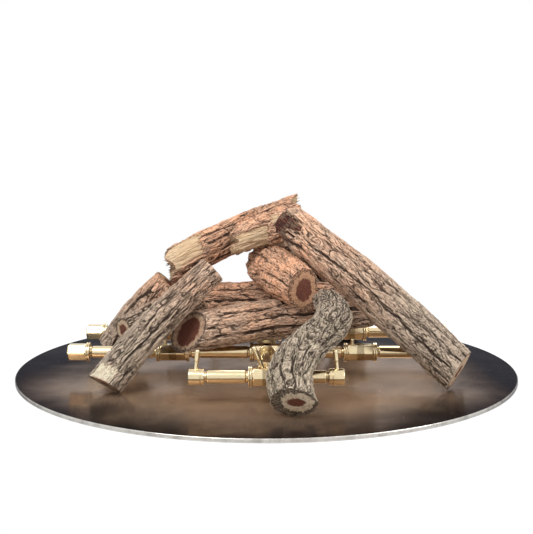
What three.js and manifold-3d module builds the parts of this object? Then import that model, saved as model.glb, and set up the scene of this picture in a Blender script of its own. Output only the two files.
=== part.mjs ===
import * as THREE from 'three';
import { mergeVertices } from 'three/addons/utils/BufferGeometryUtils.js';
import Module from 'manifold-3d';

const wasm = await Module();
wasm.setup();

// Gas log set: a round steel plate, a brass tree burner screwed together from
// nipples, hex fittings and jets, and moulded logs piled loose on top.
// Millimetres, +Z up, origin under the centre of the plate. The front is -Y.

// Clearances between pieces
const fitClearance = 0.3;
const seatClearance = 0.3;
const cutOverrun = 2;

// Plate
const plateDiameter = 914.4;
const plateThickness = 6.35;

// Half inch brass pipe
const pipeDiameter = 21.3;
const pipeWall = 2.75;
const threadDepth = 1.15;
const threadLength = 11;
const neckShow = 4;

// Pipe that shows between two fittings
const spineInnerShow = 33.5;
const spineOuterShow = 125;
const rowInnerShow = 108;
const rowOuterShow = 118;
const endShow = 70;
const riserShow = 5.35;

// Hex fittings
const hexWall = 4.2;
const flangeStep = 3;
const flangeWidth = 6;
const runReach = 29;
const dropReach = 22;

// End caps
const capRelief = 7;
const hexCapEndWall = 21;
const hexCapChamfer = 2.4;
const roundCapWall = 3.7;
const roundCapEndWall = 7;
const roundCapChamfer = 1.2;

// Inlet coupling welded into the middle of the plate
const couplingWall = 5.2;
const couplingHeight = 24;

// Jets
const jetDiameter = 8;
const jetNeckStep = 0.8;
const jetSpigotStep = 0.4;
const jetWall = 1.2;
const jetSpigotLength = 3.4;
const jetNeckShare = 0.42;
const jetTipChamfer = 1;
const jetAirHole = 2;
const capJetHeight = 30;
const teeJetHeight = 38;
const stubJetHeight = 10;
const capJetLeanDegrees = 6;
const teeJetLeanDegrees = 25;
const capJetReach = 13;
const teeJetShare = 0.22;
const stubJetShare = 0.6;

// Facets
const plateSides = 72;
const pipeSides = 10;
const flangeSides = 14;
const jetSides = 6;
const logSectors = 24;
const ringSpacing = 31;
const fewestRings = 5;

// Bark of the moulded logs: an oval section, lumps that wind round it, furrows that wander
// along it between ridges, and splinters where the wood is torn
const furrowDepth = 3.6;
const furrowFadeShare = 0.3;
const furrowWander = 0.25;
const furrowTurns = 6;
const furrowScatter = 2.4;
const barkOvalShare = 0.055;
const barkLumpShare = 0.035;
const lumpsAround = 3;
const lumpWind = 9;
const swellWind = 7;
const fadeWind = 5;
const tornDepth = 7.5;
const tornSplinters = 4;

// Lengths of the logs
const crossFrontLength = 352;
const crossRearLength = 294;
const stubLength = 216;
const frontLength = 248;
const rightLength = 394;
const leftInnerLength = 152;
const leftLength = 268;
const rearLeftLength = 164;
const rearRightLength = 326;
const topLength = 122;
const crownLength = 264;

// Thickness and bend that the shapes of the logs are shares of
const logRadius = 40;
const logBend = 20;

// The logs, from the bottom of the pile up. Each has its length, the way that it points, the
// place of its low end in shares of the plate's radius, and its radii at the low end, the
// middle and the top end. The bend shares carry its middle sideways and upwards, and the
// third bends it both ways in a wave. The cut shares are the slopes of its two saw cuts,
// sideways and upwards. A log with slope limits lies on what is under it, and one without
// leans, with its low end on the plate.
const pile = [
  {
    name: 'log_cross_front', length: crossFrontLength, turnDegrees: 23, rollDegrees: 20,
    placeShare: [-0.296, -0.29], radiusShare: [0.9, 0.925, 0.85],
    bendShare: [0.3, 0.15, 0], lowCutShare: [-0.4, 0.5], topCutShare: [-0.1, 0.1],
    slopeDegrees: [2.5, 2.5],
  },
  {
    name: 'log_cross_rear', length: crossRearLength, turnDegrees: 1, rollDegrees: 75,
    placeShare: [-0.353, 0.19], radiusShare: [0.975, 1.05, 0.95],
    bendShare: [-0.25, 0.1, 0], lowCutShare: [0.1, 0.1], topCutShare: [-0.15, 0.1],
    slopeDegrees: [0.5, 0.5],
  },
  {
    name: 'log_stub', length: stubLength, turnDegrees: 108, rollDegrees: 140,
    placeShare: [0.136, -0.3], radiusShare: [0.8, 0.95, 0.925],
    bendShare: [0.2, 0.15, 0], lowCutShare: [-0.35, 0.1], topCutShare: [0, 0],
    slopeDegrees: [0, 10],
  },
  {
    name: 'log_front', length: frontLength, turnDegrees: 73, rollDegrees: 0,
    placeShare: [0.089, -0.8], radiusShare: [0.825, 0.775, 0.625],
    bendShare: [-0.2, 0.95, 1], lowCutShare: [-0.12, -0.12], topCutShare: [0, 0.2],
  },
  {
    name: 'log_right', length: rightLength, turnDegrees: 150, rollDegrees: 0,
    placeShare: [0.704, -0.42], radiusShare: [0.95, 1, 0.875],
    bendShare: [-0.25, 0.2, 0], lowCutShare: [-0.08, 0.15], topCutShare: [0.5, 0.25],
  },
  {
    name: 'log_left_inner', length: leftInnerLength, turnDegrees: 4, rollDegrees: 60,
    placeShare: [-0.553, -0.19], radiusShare: [0.65, 0.7, 0.65],
    bendShare: [0.15, 0.1, 0], lowCutShare: [-0.6, 0.1], topCutShare: [0, 0],
    slopeDegrees: [15, 35],
  },
  {
    name: 'log_left', length: leftLength, turnDegrees: 31, rollDegrees: 45,
    placeShare: [-0.587, -0.47], radiusShare: [0.75, 0.725, 0.65],
    bendShare: [0.25, 0.2, 0], lowCutShare: [-0.1, -0.25], topCutShare: [0.1, 0],
  },
  {
    name: 'log_rear_left', length: rearLeftLength, turnDegrees: 2, rollDegrees: 100,
    placeShare: [-0.632, 0.07], radiusShare: [0.85, 0.875, 0.775],
    bendShare: [-0.2, 0.2, 0], lowCutShare: [0.1, 0], topCutShare: [0, 0.1],
  },
  {
    name: 'log_rear_right', length: rearRightLength, turnDegrees: 233, rollDegrees: 30,
    placeShare: [0.415, 0.635], radiusShare: [0.9, 0.95, 0.825],
    bendShare: [0.3, 0.25, 0], lowCutShare: [0.1, 0.1], topCutShare: [0, 0],
  },
  {
    name: 'log_top', length: topLength, turnDegrees: 4, rollDegrees: 200,
    placeShare: [-0.13, 0.02], radiusShare: [0.625, 0.675, 0.55],
    bendShare: [0.15, 0.15, 0], lowCutShare: [0, 0.3], topCutShare: [0, 0.2],
    slopeDegrees: [17, 17], torn: true,
  },
  {
    name: 'log_crown', length: crownLength, turnDegrees: 4, rollDegrees: 10,
    placeShare: [-0.4, 0.155], radiusShare: [0.95, 0.85, 0.65],
    bendShare: [-0.2, 0.25, 0], lowCutShare: [0, 0.2], topCutShare: [0, 0.3],
    slopeDegrees: [14, 28], torn: true,
  },
];

// Search for the seats of the logs
const coarseStep = 14;
const coarseDegrees = 3;
const steepestDegrees = 84;
const halvings = 14;
const slopeRounds = 3;
const slopeSteps = 4;
const narrowShare = 0.75;

// Places that follow from the sizes
const radians = Math.PI / 180;
const plateRadius = plateDiameter / 2;
const bodyRadius = pipeDiameter / 2;
const boreRadius = bodyRadius - pipeWall;
const neckRadius = bodyRadius - threadDepth;
const socketRadius = neckRadius + fitClearance;
const hexFlats = 2 * (socketRadius + hexWall);
const hexSeat = hexFlats / 2;
const flangeRadius = hexSeat + flangeStep;
const roundCapRadius = socketRadius + roundCapWall;
const couplingRadius = socketRadius + couplingWall;
const capBoreDepth = threadLength + capRelief;
const hexCapLength = capBoreDepth + hexCapEndWall;
const roundCapLength = capBoreDepth + roundCapEndWall;
const burnerAxis = couplingHeight + riserShow + dropReach;
const midRowY = runReach + spineInnerShow + runReach;
const endRowY = midRowY + runReach + spineOuterShow + runReach;
const midTeeX = runReach + rowInnerShow + runReach;
const hexPortX = midTeeX + runReach + rowOuterShow;
const roundPortX = runReach + endShow;
const openFlat = runReach - flangeWidth;
const jetNeckRadius = jetDiameter / 2 - jetNeckStep;
const jetSpigotRadius = jetNeckRadius - jetSpigotStep;
const jetBoreRadius = jetSpigotRadius - jetWall;

const steelFinish = { color: 0x3c3d40, roughness: 0.28, metalness: 0.9 };
const brassFinish = { color: 0xd9b45c, roughness: 0.22, metalness: 1 };
const barkFinish = { color: 0x7d6c5f, roughness: 0.92, metalness: 0 };

const model = new THREE.Group();

// Adds one named piece to the model.
function addPiece(name, geometry, finish, position = [0, 0, 0], rotation = [0, 0, 0, 'XYZ']) {
  const mesh = new THREE.Mesh(geometry, new THREE.MeshStandardMaterial(finish));
  mesh.name = name;
  mesh.position.set(...position);
  mesh.rotation.set(...rotation);
  mesh.updateMatrixWorld();
  model.add(mesh);
  return mesh;
}

// A closed geometry as a solid that can be joined and cut.
function solidOf(geometry, matrix) {
  const bare = geometry.clone();
  if (matrix) bare.applyMatrix4(matrix);
  bare.deleteAttribute('normal');
  bare.deleteAttribute('uv');
  const merged = mergeVertices(bare);
  return new wasm.Manifold(new wasm.Mesh({
    numProp: 3,
    vertProperties: new Float32Array(merged.attributes.position.array),
    triVerts: new Uint32Array(merged.index.array),
  }));
}

// A solid as a geometry again.
function geometryOf(solid) {
  const mesh = solid.getMesh();
  const geometry = new THREE.BufferGeometry();
  const corners = new Float32Array(mesh.vertProperties);
  geometry.setAttribute('position', new THREE.BufferAttribute(corners, 3));
  geometry.setIndex(Array.from(mesh.triVerts));
  const flat = geometry.toNonIndexed();
  flat.computeVertexNormals();
  return flat;
}

// Turns a geometry that was made along +Z so that it points along a direction.
function pointed(geometry, direction) {
  const ahead = new THREE.Vector3(...direction);
  const up = ahead.z === 0 ? new THREE.Vector3(0, 0, 1) : new THREE.Vector3(0, 1, 0);
  const side = new THREE.Vector3().crossVectors(up, ahead);
  return geometry.applyMatrix4(new THREE.Matrix4().makeBasis(side, up, ahead));
}

// A round bar along +Z from one height to another.
function bar(radius, from, to, sides) {
  const rod = new THREE.CylinderGeometry(radius, radius, to - from, sides);
  return rod.rotateX(Math.PI / 2).translate(0, 0, (from + to) / 2);
}

// A hexagonal bar along +Z with a flat facing +Y, and its ends chamfered if asked.
function hexBar(from, to, chamfer = 0) {
  const corner = hexSeat / Math.cos(Math.PI / 6);
  const outline = new THREE.Shape();
  for (let i = 0; i < 6; i++) {
    const angle = i * Math.PI / 3;
    const [x, y] = [corner * Math.cos(angle), corner * Math.sin(angle)];
    if (i === 0) outline.moveTo(x, y);
    else outline.lineTo(x, y);
  }
  const options = {
    depth: to - from - 2 * chamfer, bevelEnabled: chamfer > 0, bevelSegments: 1,
    bevelThickness: chamfer, bevelSize: chamfer, bevelOffset: -chamfer,
  };
  return new THREE.ExtrudeGeometry(outline, options).translate(0, 0, from + chamfer);
}

// A closed ring or tube turned about +Z from pairs of radius and height.
function turned(pairs, sides) {
  const profile = pairs.map(([radius, height]) => new THREE.Vector2(radius, height));
  return new THREE.LatheGeometry(profile, sides).rotateX(Math.PI / 2);
}

// Plate with the hole that the inlet coupling is welded into
function makePlate() {
  const hole = couplingRadius + fitClearance;
  const disc = turned([
    [hole, 0], [plateRadius, 0], [plateRadius, plateThickness], [hole, plateThickness], [hole, 0],
  ], plateSides);
  addPiece('base_plate', disc, steelFinish);
}

// Nipple: a pipe with a slimmer threaded neck at each end, along +Z about its middle.
function nippleGeometry(between) {
  const port = between / 2;
  const end = port + threadLength;
  const shoulder = port - neckShow;
  return turned([
    [boreRadius, -end], [neckRadius, -end], [neckRadius, -shoulder], [bodyRadius, -shoulder],
    [bodyRadius, shoulder], [neckRadius, shoulder], [neckRadius, end], [boreRadius, end],
    [boreRadius, -end],
  ], pipeSides);
}

// Puts a nipple between two ports on a line along X or Y at the height of the burner.
function addNipple(name, from, to) {
  const along = [Math.sign(to[0] - from[0]), Math.sign(to[1] - from[1]), 0];
  const between = Math.hypot(to[0] - from[0], to[1] - from[1]);
  const middle = [(from[0] + to[0]) / 2, (from[1] + to[1]) / 2, burnerAxis];
  addPiece(name, pointed(nippleGeometry(between), along), brassFinish, middle);
}

// Fitting: a hexagonal arm with a flange and a socket for each port, round one cavity.
function fittingSolid(ports) {
  let body = null;
  let hollow = null;
  for (const [direction, reach] of ports) {
    const arm = solidOf(pointed(hexBar(-hexSeat / 2, reach), direction));
    const rim = bar(flangeRadius, reach - flangeWidth, reach, flangeSides);
    const flange = solidOf(pointed(rim, direction));
    const drill = bar(socketRadius, -socketRadius, reach + cutOverrun, pipeSides);
    const socket = solidOf(pointed(drill, direction));
    body = body ? body.add(arm).add(flange) : arm.add(flange);
    hollow = hollow ? hollow.add(socket) : socket;
  }
  return body.subtract(hollow);
}

// Cuts the tapped hole of a jet into the top of a fitting, with a spot face for its neck.
function tapHole(solid, offset, seat, leanDegrees) {
  const depth = jetSpigotLength + cutOverrun;
  const drill = solidOf(bar(jetSpigotRadius + fitClearance, -depth, cutOverrun, jetSides));
  const spotFace = solidOf(bar(jetNeckRadius + fitClearance, 0, depth, jetSides));
  const turn = new THREE.Matrix4().makeRotationY(leanDegrees * radians).setPosition(offset, 0, seat);
  return solid.subtract(drill.add(spotFace).transform(turn.elements));
}

// Tall jet: a spigot in the fitting, a neck with an air hole and a wider nozzle.
function jetGeometry(height) {
  const neckTop = height * jetNeckShare;
  const nozzleRadius = jetDiameter / 2;
  const tube = turned([
    [jetBoreRadius, -jetSpigotLength], [jetSpigotRadius, -jetSpigotLength],
    [jetSpigotRadius, seatClearance], [jetNeckRadius, seatClearance],
    [jetNeckRadius, neckTop], [nozzleRadius, neckTop + jetNeckStep],
    [nozzleRadius, height - jetTipChamfer], [nozzleRadius - jetTipChamfer, height],
    [jetBoreRadius, height], [jetBoreRadius, -jetSpigotLength],
  ], jetSides);
  const drill = pointed(bar(jetAirHole / 2, -jetDiameter, jetDiameter, jetSides), [0, 1, 0]);
  return geometryOf(solidOf(tube).subtract(solidOf(drill.translate(0, 0, neckTop - jetAirHole))));
}

// Short jet: a spigot in the fitting and a plain nozzle.
function stubJetGeometry() {
  return turned([
    [jetBoreRadius, -jetSpigotLength], [jetSpigotRadius, -jetSpigotLength],
    [jetSpigotRadius, seatClearance], [jetNeckRadius, seatClearance],
    [jetNeckRadius, stubJetHeight - jetTipChamfer],
    [jetNeckRadius - jetTipChamfer, stubJetHeight],
    [jetBoreRadius, stubJetHeight], [jetBoreRadius, -jetSpigotLength],
  ], jetSides);
}

// Puts a jet on the top of a fitting.
function addJet(name, geometry, x, y, seat, leanDegrees = 0) {
  const turn = [0, leanDegrees * radians, 0, 'XYZ'];
  addPiece(name, geometry, brassFinish, [x, y, burnerAxis + seat], turn);
}

// Middle of the burner: the tee on the riser, with a short jet
function makeCentre() {
  const ports = [[[0, 1, 0], runReach], [[0, -1, 0], runReach], [[0, 0, -1], dropReach]];
  const tee = tapHole(fittingSolid(ports), 0, hexSeat, 0);
  addPiece('centre_tee', geometryOf(tee), brassFinish, [0, 0, burnerAxis]);
  addJet('jet_centre', stubJetGeometry(), 0, 0, hexSeat);
}

// Middle row at one end: a cross on the spine, and a jet fitting and a hex cap on each side
function makeMidRow(end, way) {
  const y = way * midRowY;
  const run = [[[1, 0, 0], runReach], [[-1, 0, 0], runReach]];
  const spine = [[[0, 1, 0], runReach], [[0, -1, 0], runReach]];
  const cross = geometryOf(fittingSolid([...run, ...spine]));
  addPiece(`cross_${end}`, cross, brassFinish, [0, y, burnerAxis]);
  addNipple(`spine_nipple_inner_${end}`, [0, way * runReach], [0, y - way * runReach]);

  const jetOffset = -openFlat * stubJetShare;
  const midTee = geometryOf(tapHole(fittingSolid(run), jetOffset, hexSeat, 0));
  for (const [side, hand] of [['left', -1], ['right', 1]]) {
    const teeX = hand * midTeeX;
    const [inX, outX] = [teeX - hand * runReach, teeX + hand * runReach];
    const portX = hand * hexPortX;
    addPiece(`mid_tee_${end}_${side}`, midTee, brassFinish, [teeX, y, burnerAxis]);
    addJet(`jet_mid_${end}_${side}`, stubJetGeometry(), teeX + jetOffset, y, hexSeat);
    addNipple(`row_nipple_inner_${end}_${side}`, [hand * runReach, y], [inX, y]);
    addNipple(`row_nipple_outer_${end}_${side}`, [outX, y], [portX, y]);
    addPiece(`hex_cap_${end}_${side}`, hexCapGeometry(hand), brassFinish, [portX, y, burnerAxis]);
  }
}

// End row: a tee on the spine with a leaning jet, and a round cap with a jet on each side
function makeEndRow(end, way) {
  const y = way * endRowY;
  const innerPort = way * (midRowY + runReach);
  addNipple(`spine_nipple_outer_${end}`, [0, innerPort], [0, y - way * runReach]);

  const ports = [[[1, 0, 0], runReach], [[-1, 0, 0], runReach], [[0, -way, 0], runReach]];
  const jetOffset = way * openFlat * teeJetShare;
  const jetLean = way * teeJetLeanDegrees;
  const tee = tapHole(fittingSolid(ports), jetOffset, hexSeat, jetLean);
  addPiece(`end_tee_${end}`, geometryOf(tee), brassFinish, [0, y, burnerAxis]);
  addJet(`jet_tee_${end}`, jetGeometry(teeJetHeight), jetOffset, y, hexSeat, jetLean);

  for (const [side, hand] of [['left', -1], ['right', 1]]) {
    const portX = hand * roundPortX;
    const jetX = portX + hand * capJetReach;
    const lean = -hand * capJetLeanDegrees;
    addNipple(`end_nipple_${end}_${side}`, [hand * runReach, y], [portX, y]);
    addPiece(`round_cap_${end}_${side}`, roundCapGeometry(hand), brassFinish, [portX, y, burnerAxis]);
    addJet(`jet_cap_${end}_${side}`, jetGeometry(capJetHeight), jetX, y, roundCapRadius, lean);
  }
}

// Hexagonal end cap with a flange at its mouth, from its port outwards.
function hexCapGeometry(hand) {
  const direction = [hand, 0, 0];
  const body = solidOf(pointed(hexBar(0, hexCapLength, hexCapChamfer), direction));
  const flange = solidOf(pointed(bar(flangeRadius, 0, flangeWidth, flangeSides), direction));
  const bore = solidOf(pointed(bar(socketRadius, -cutOverrun, capBoreDepth, pipeSides), direction));
  return geometryOf(body.add(flange).subtract(bore));
}

// Round end cap with the tapped hole of its jet, from its port outwards.
function roundCapGeometry(hand) {
  const shell = turned([
    [0, capBoreDepth], [socketRadius, capBoreDepth], [socketRadius, 0],
    [roundCapRadius - roundCapChamfer, 0], [roundCapRadius, roundCapChamfer],
    [roundCapRadius, roundCapLength - roundCapChamfer],
    [roundCapRadius - roundCapChamfer, roundCapLength], [0, roundCapLength],
  ], flangeSides);
  const body = solidOf(pointed(shell, [hand, 0, 0]));
  const lean = -hand * capJetLeanDegrees;
  return geometryOf(tapHole(body, hand * capJetReach, roundCapRadius, lean));
}

// Inlet: the coupling in the plate and the riser nipple that carries the burner
function makeInlet() {
  const coupling = turned([
    [socketRadius, 0], [couplingRadius, 0], [couplingRadius, couplingHeight],
    [socketRadius, couplingHeight], [socketRadius, 0],
  ], flangeSides);
  addPiece('inlet_coupling', coupling, brassFinish);
  const [from, to] = [-threadLength, riserShow + threadLength];
  const riser = turned([
    [boreRadius, from], [neckRadius, from], [neckRadius, to], [boreRadius, to], [boreRadius, from],
  ], pipeSides);
  addPiece('riser_nipple', riser, brassFinish, [0, 0, couplingHeight]);
}

// Radius of a log along its length: a parabola through its three radii.
function radiusAt(log, share) {
  const [low, mid, top] = log.radiusShare.map((part) => part * logRadius);
  const ends = low * (1 - share) * (1 - 2 * share) + top * share * (2 * share - 1);
  return ends + mid * 4 * share * (1 - share);
}

// Centre line of a log in its own frame, where it runs along +X from the origin.
function centreAt(log, share) {
  const [bow, crook, wave] = log.bendShare.map((part) => part * logBend);
  const swell = Math.sin(Math.PI * share);
  const sway = wave * Math.sin(2 * Math.PI * share);
  return new THREE.Vector3(share * log.length, bow * swell + sway, crook * swell);
}

// Rings of points along a log, apart from the first.
function ringCount(log) {
  return Math.max(fewestRings, Math.round(log.length / ringSpacing));
}

// Direction of a sector round the log. Furrows and ridges wander to and fro along it.
function sectorAngle(share, sector) {
  const wander = furrowWander * Math.sin(furrowTurns * share + furrowScatter * sector);
  return (sector + wander) / logSectors * 2 * Math.PI;
}

// Distance of the bark from the centre line: an oval with lumps, whose even sectors are
// ridges and whose odd ones are furrows, deeper and shallower by turns.
function barkRadius(log, share, sector) {
  const angle = sectorAngle(share, sector);
  const roll = log.rollDegrees * radians;
  const oval = barkOvalShare * Math.cos(2 * angle + roll);
  const lump = Math.sin(lumpsAround * angle + roll + lumpWind * share);
  const swell = barkLumpShare * lump * Math.sin(swellWind * share + roll);
  const ridge = sector % 2 === 0 ? furrowDepth / 2 : -furrowDepth / 2;
  const fade = 1 - furrowFadeShare * (1 + Math.cos(fadeWind * share + 2 * angle + roll)) / 2;
  return radiusAt(log, share) * (1 + oval + swell) + ridge * fade;
}

// One point of the bark, grown outwards by the same distance all over.
function barkPoint(log, ring, sector, grow) {
  const lastRing = ringCount(log);
  const share = ring / lastRing;
  const angle = sectorAngle(share, sector);
  const centre = centreAt(log, share);
  const radius = barkRadius(log, share, sector) + grow;
  const [y, z] = [radius * Math.cos(angle), radius * Math.sin(angle)];
  const lowCut = log.lowCutShare[0] * y + log.lowCutShare[1] * z;
  const topCut = log.topCutShare[0] * y + log.topCutShare[1] * z;
  let x = centre.x + lowCut * (1 - share) + topCut * share;
  if (ring === 0) x -= grow;
  if (ring === lastRing) x += grow;
  if (log.torn && ring % lastRing === 0) x += tornDepth * Math.cos(tornSplinters * angle);
  return [x, centre.y + y, centre.z + z];
}

// Log: rings of bark along the centre line, closed by two saw cuts or torn ends.
function logGeometry(log, grow = 0) {
  const lastRing = ringCount(log);
  const points = [];
  const faces = [];
  for (let ring = 0; ring <= lastRing; ring++) {
    for (let sector = 0; sector < logSectors; sector++) {
      points.push(...barkPoint(log, ring, sector, grow));
    }
  }
  const at = (ring, sector) => ring * logSectors + sector % logSectors;
  const lowCentre = at(lastRing + 1, 0);
  points.push(-grow, 0, 0, log.length + grow, 0, 0);
  for (let sector = 0; sector < logSectors; sector++) {
    for (let ring = 0; ring < lastRing; ring++) {
      const [a, b] = [at(ring, sector), at(ring, sector + 1)];
      const [c, d] = [at(ring + 1, sector), at(ring + 1, sector + 1)];
      faces.push(a, b, c, b, d, c);
    }
    faces.push(lowCentre, at(0, sector + 1), at(0, sector));
    faces.push(lowCentre + 1, at(lastRing, sector), at(lastRing, sector + 1));
  }
  const geometry = new THREE.BufferGeometry();
  geometry.setAttribute('position', new THREE.Float32BufferAttribute(points, 3));
  geometry.setIndex(faces);
  geometry.computeVertexNormals();
  return geometry;
}

// Place of a log's low end on a seat, which may be set back from its own place.
function logPosition(log, seat) {
  const [x, y] = log.placeShare.map((share) => share * plateRadius);
  const turn = log.turnDegrees * radians;
  return [x - seat.back * Math.cos(turn), y - seat.back * Math.sin(turn), seat.height];
}

// Turn of a log on a seat, from its slope and the way that it points.
function logRotation(log, seat) {
  return [0, -seat.slope * radians, log.turnDegrees * radians, 'ZYX'];
}

// Frame of a log on a seat.
function logMatrix(log, seat) {
  const turn = new THREE.Euler(...logRotation(log, seat));
  return new THREE.Matrix4().makeRotationFromEuler(turn).setPosition(...logPosition(log, seat));
}

// Height of a log's frame at which its lowest point stands on the plate.
function standingHeight(log, geometry, slope) {
  const level = geometry.clone().applyMatrix4(logMatrix(log, { slope, height: 0, back: 0 }));
  level.computeBoundingBox();
  return plateThickness + seatClearance - level.boundingBox.min.z;
}

// The pieces that later logs are seated against
const placed = [];
function keepPlaced(mesh) {
  const solid = solidOf(mesh.geometry, mesh.matrixWorld);
  placed.push({ solid, box: solid.boundingBox() });
}

// Whether a log, grown by the seat clearance, touches any piece that is already placed.
function touches(grown, matrix) {
  const solid = solidOf(grown, matrix);
  const bounds = solid.boundingBox();
  return placed.some(({ solid: other, box }) => {
    const apart = [0, 1, 2].some((i) => bounds.min[i] > box.max[i] || bounds.max[i] < box.min[i]);
    return !apart && solid.intersect(other).volume() > 0;
  });
}

// Closes in on the last clear value between a clear one and a touching one.
function lastClear(clear, touching, test) {
  let [good, bad] = [clear, touching];
  for (let i = 0; i < halvings; i++) {
    const middle = (good + bad) / 2;
    if (test(middle)) bad = middle;
    else good = middle;
  }
  return good;
}

// Lowers a log at one slope from above the pile until it touches what is under it.
function dropped(log, geometry, grown, slope) {
  const floor = standingHeight(log, geometry, slope);
  const seatAt = (height) => ({ slope, height, back: 0 });
  const test = (height) => height < floor || touches(grown, logMatrix(log, seatAt(height)));
  let height = Math.max(...placed.map(({ box }) => box.max[2])) + 2 * radiusAt(log, 0.5);
  while (!test(height)) height -= coarseStep;
  return seatAt(lastClear(height + coarseStep, height, test));
}

// Finds the slope at which a log lies lowest in its middle, and so on two supports.
function settle(log, geometry, grown) {
  const middleOf = (seat) => seat.height + Math.sin(seat.slope * radians) * log.length / 2;
  let [low, high] = log.slopeDegrees;
  let best = dropped(log, geometry, grown, low);
  for (let round = 0; round < slopeRounds && high > low; round++) {
    const step = (high - low) / slopeSteps;
    for (let i = 0; i <= slopeSteps; i++) {
      const seat = dropped(log, geometry, grown, low + i * step);
      if (middleOf(seat) < middleOf(best)) best = seat;
    }
    [low, high] = [best.slope - step * narrowShare, best.slope + step * narrowShare];
  }
  return best;
}

// Leans a log that stands on the plate until it touches what holds it up. Its foot is set
// back where another piece stands in its way.
function lean(log, geometry, grown) {
  let back = 0;
  const seatAt = (slope) => ({ slope, height: standingHeight(log, geometry, slope), back });
  const test = (slope) => touches(grown, logMatrix(log, seatAt(slope)));
  while (test(steepestDegrees)) back += coarseStep;
  let slope = steepestDegrees;
  while (slope > 0 && !test(slope)) slope -= coarseDegrees;
  return seatAt(lastClear(slope + coarseDegrees, slope, test));
}

// Adds a log at the seat that is found for it.
function addLog(log) {
  const geometry = logGeometry(log);
  const grown = logGeometry(log, seatClearance);
  const seat = log.slopeDegrees ? settle(log, geometry, grown) : lean(log, geometry, grown);
  const place = logPosition(log, seat);
  keepPlaced(addPiece(log.name, geometry, barkFinish, place, logRotation(log, seat)));
}

makeInlet();
makeCentre();
for (const [end, way] of [['front', -1], ['rear', 1]]) {
  makeMidRow(end, way);
  makeEndRow(end, way);
}
model.children.forEach(keepPlaced);
pile.forEach(addLog);
makePlate();

export default model;
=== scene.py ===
"""Gas log set: a pile of moulded logs on a brass tree burner, which stands on a round steel plate.

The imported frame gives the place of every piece. Each operator below builds one group of pieces
over it, in metres, with +Z up and the front towards -Y.
"""
import dataclasses
import math

import bpy
import numpy as np
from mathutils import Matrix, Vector


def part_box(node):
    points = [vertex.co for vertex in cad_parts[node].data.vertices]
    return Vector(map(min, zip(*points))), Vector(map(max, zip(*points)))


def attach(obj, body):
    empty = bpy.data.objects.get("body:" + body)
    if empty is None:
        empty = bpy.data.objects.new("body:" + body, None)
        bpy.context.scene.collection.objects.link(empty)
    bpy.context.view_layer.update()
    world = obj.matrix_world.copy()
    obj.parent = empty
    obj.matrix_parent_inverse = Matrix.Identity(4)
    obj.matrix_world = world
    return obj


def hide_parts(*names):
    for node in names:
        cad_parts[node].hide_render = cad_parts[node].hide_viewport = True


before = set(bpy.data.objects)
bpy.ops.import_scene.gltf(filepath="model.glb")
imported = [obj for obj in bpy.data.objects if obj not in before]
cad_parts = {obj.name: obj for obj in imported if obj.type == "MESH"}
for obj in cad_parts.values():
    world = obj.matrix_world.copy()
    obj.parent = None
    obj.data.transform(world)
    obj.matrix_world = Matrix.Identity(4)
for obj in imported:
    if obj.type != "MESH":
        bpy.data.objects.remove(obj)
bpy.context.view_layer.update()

bl_info = {
    "name": "Gas Log Set",
    "version": (1, 0, 0),
    "blender": (4, 5, 0),
    "location": "3D View > Sidebar > Gas Log Set",
    "description": "Dresses a gas log set in bark, brass and steel",
    "category": "Object",
}

MM = 0.001
TURN = 2 * math.pi
IMAGE_SIZE = (533, 534)
MOST_TRIANGLES = 190000
SIDES = ("front_left", "front_right", "rear_left", "rear_right")
JET_IN_HOLE = 3.4


# Settings that a user would change

def length(name, description, default):
    """A size in metres."""
    return bpy.props.FloatProperty(
        name=name, description=description, default=default, precision=5, unit="LENGTH")


def colour(name, description, default):
    """A linear colour."""
    return bpy.props.FloatVectorProperty(
        name=name, description=description, default=default, min=0, max=1, size=3,
        subtype="COLOR")


class PlateSettings(bpy.types.PropertyGroup):
    rim_round: length("Rim round", "Radius of the plate's worn edge", 0.0012)
    unevenness: length("Unevenness", "Height of the waves left by rolling", 0.00012)
    steel: colour("Steel", "Colour of the rolled steel", (0.07, 0.069, 0.071))
    # Partly heat staining, partly a painted reflection of the flames' glow.
    stain_and_reflection: colour("Stain", "Colour of the heat stain near the burner", (0.45, 0.295, 0.19))
    bare_rim: colour("Bare rim", "Colour of the bare metal at the edge", (0.62, 0.6, 0.56))
    scratch: colour("Scratches", "Colour of the scratches in the steel", (0.2, 0.185, 0.17))


class BrassSettings(bpy.types.PropertyGroup):
    hex_flat: length("Hex flat", "Distance from a hexagon's middle to its flats", 0.014)
    cap_radius: length("Cap radius", "Radius of the round caps", 0.0135)
    collar_width: length("Collar width", "Length of the collar at each mouth", 0.006)
    collar_groove: length("Collar groove", "Depth between the two rings of a collar", 0.0017)
    ring_width: length("Ring width", "Width of each of the two rings of a collar", 0.0024)
    thread_pitch: length("Thread pitch", "Distance between the turns of a thread", 0.0018)
    thread_depth: length("Thread depth", "Depth of the thread on a neck", 0.0005)
    edge_round: length("Edge round", "Radius of the machined edges", 0.0005)
    brass: colour("Brass", "Colour of the polished brass", (0.82, 0.68, 0.43))
    tarnish: colour("Tarnish", "Colour of the brass in its grooves", (0.2, 0.115, 0.05))
    heat_tint: colour("Heat tint", "Colour of the brass where flames play", (0.7, 0.45, 0.24))
    worn_edge: colour("Worn edge", "Colour of the brass on its edges", (0.93, 0.8, 0.52))


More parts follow.
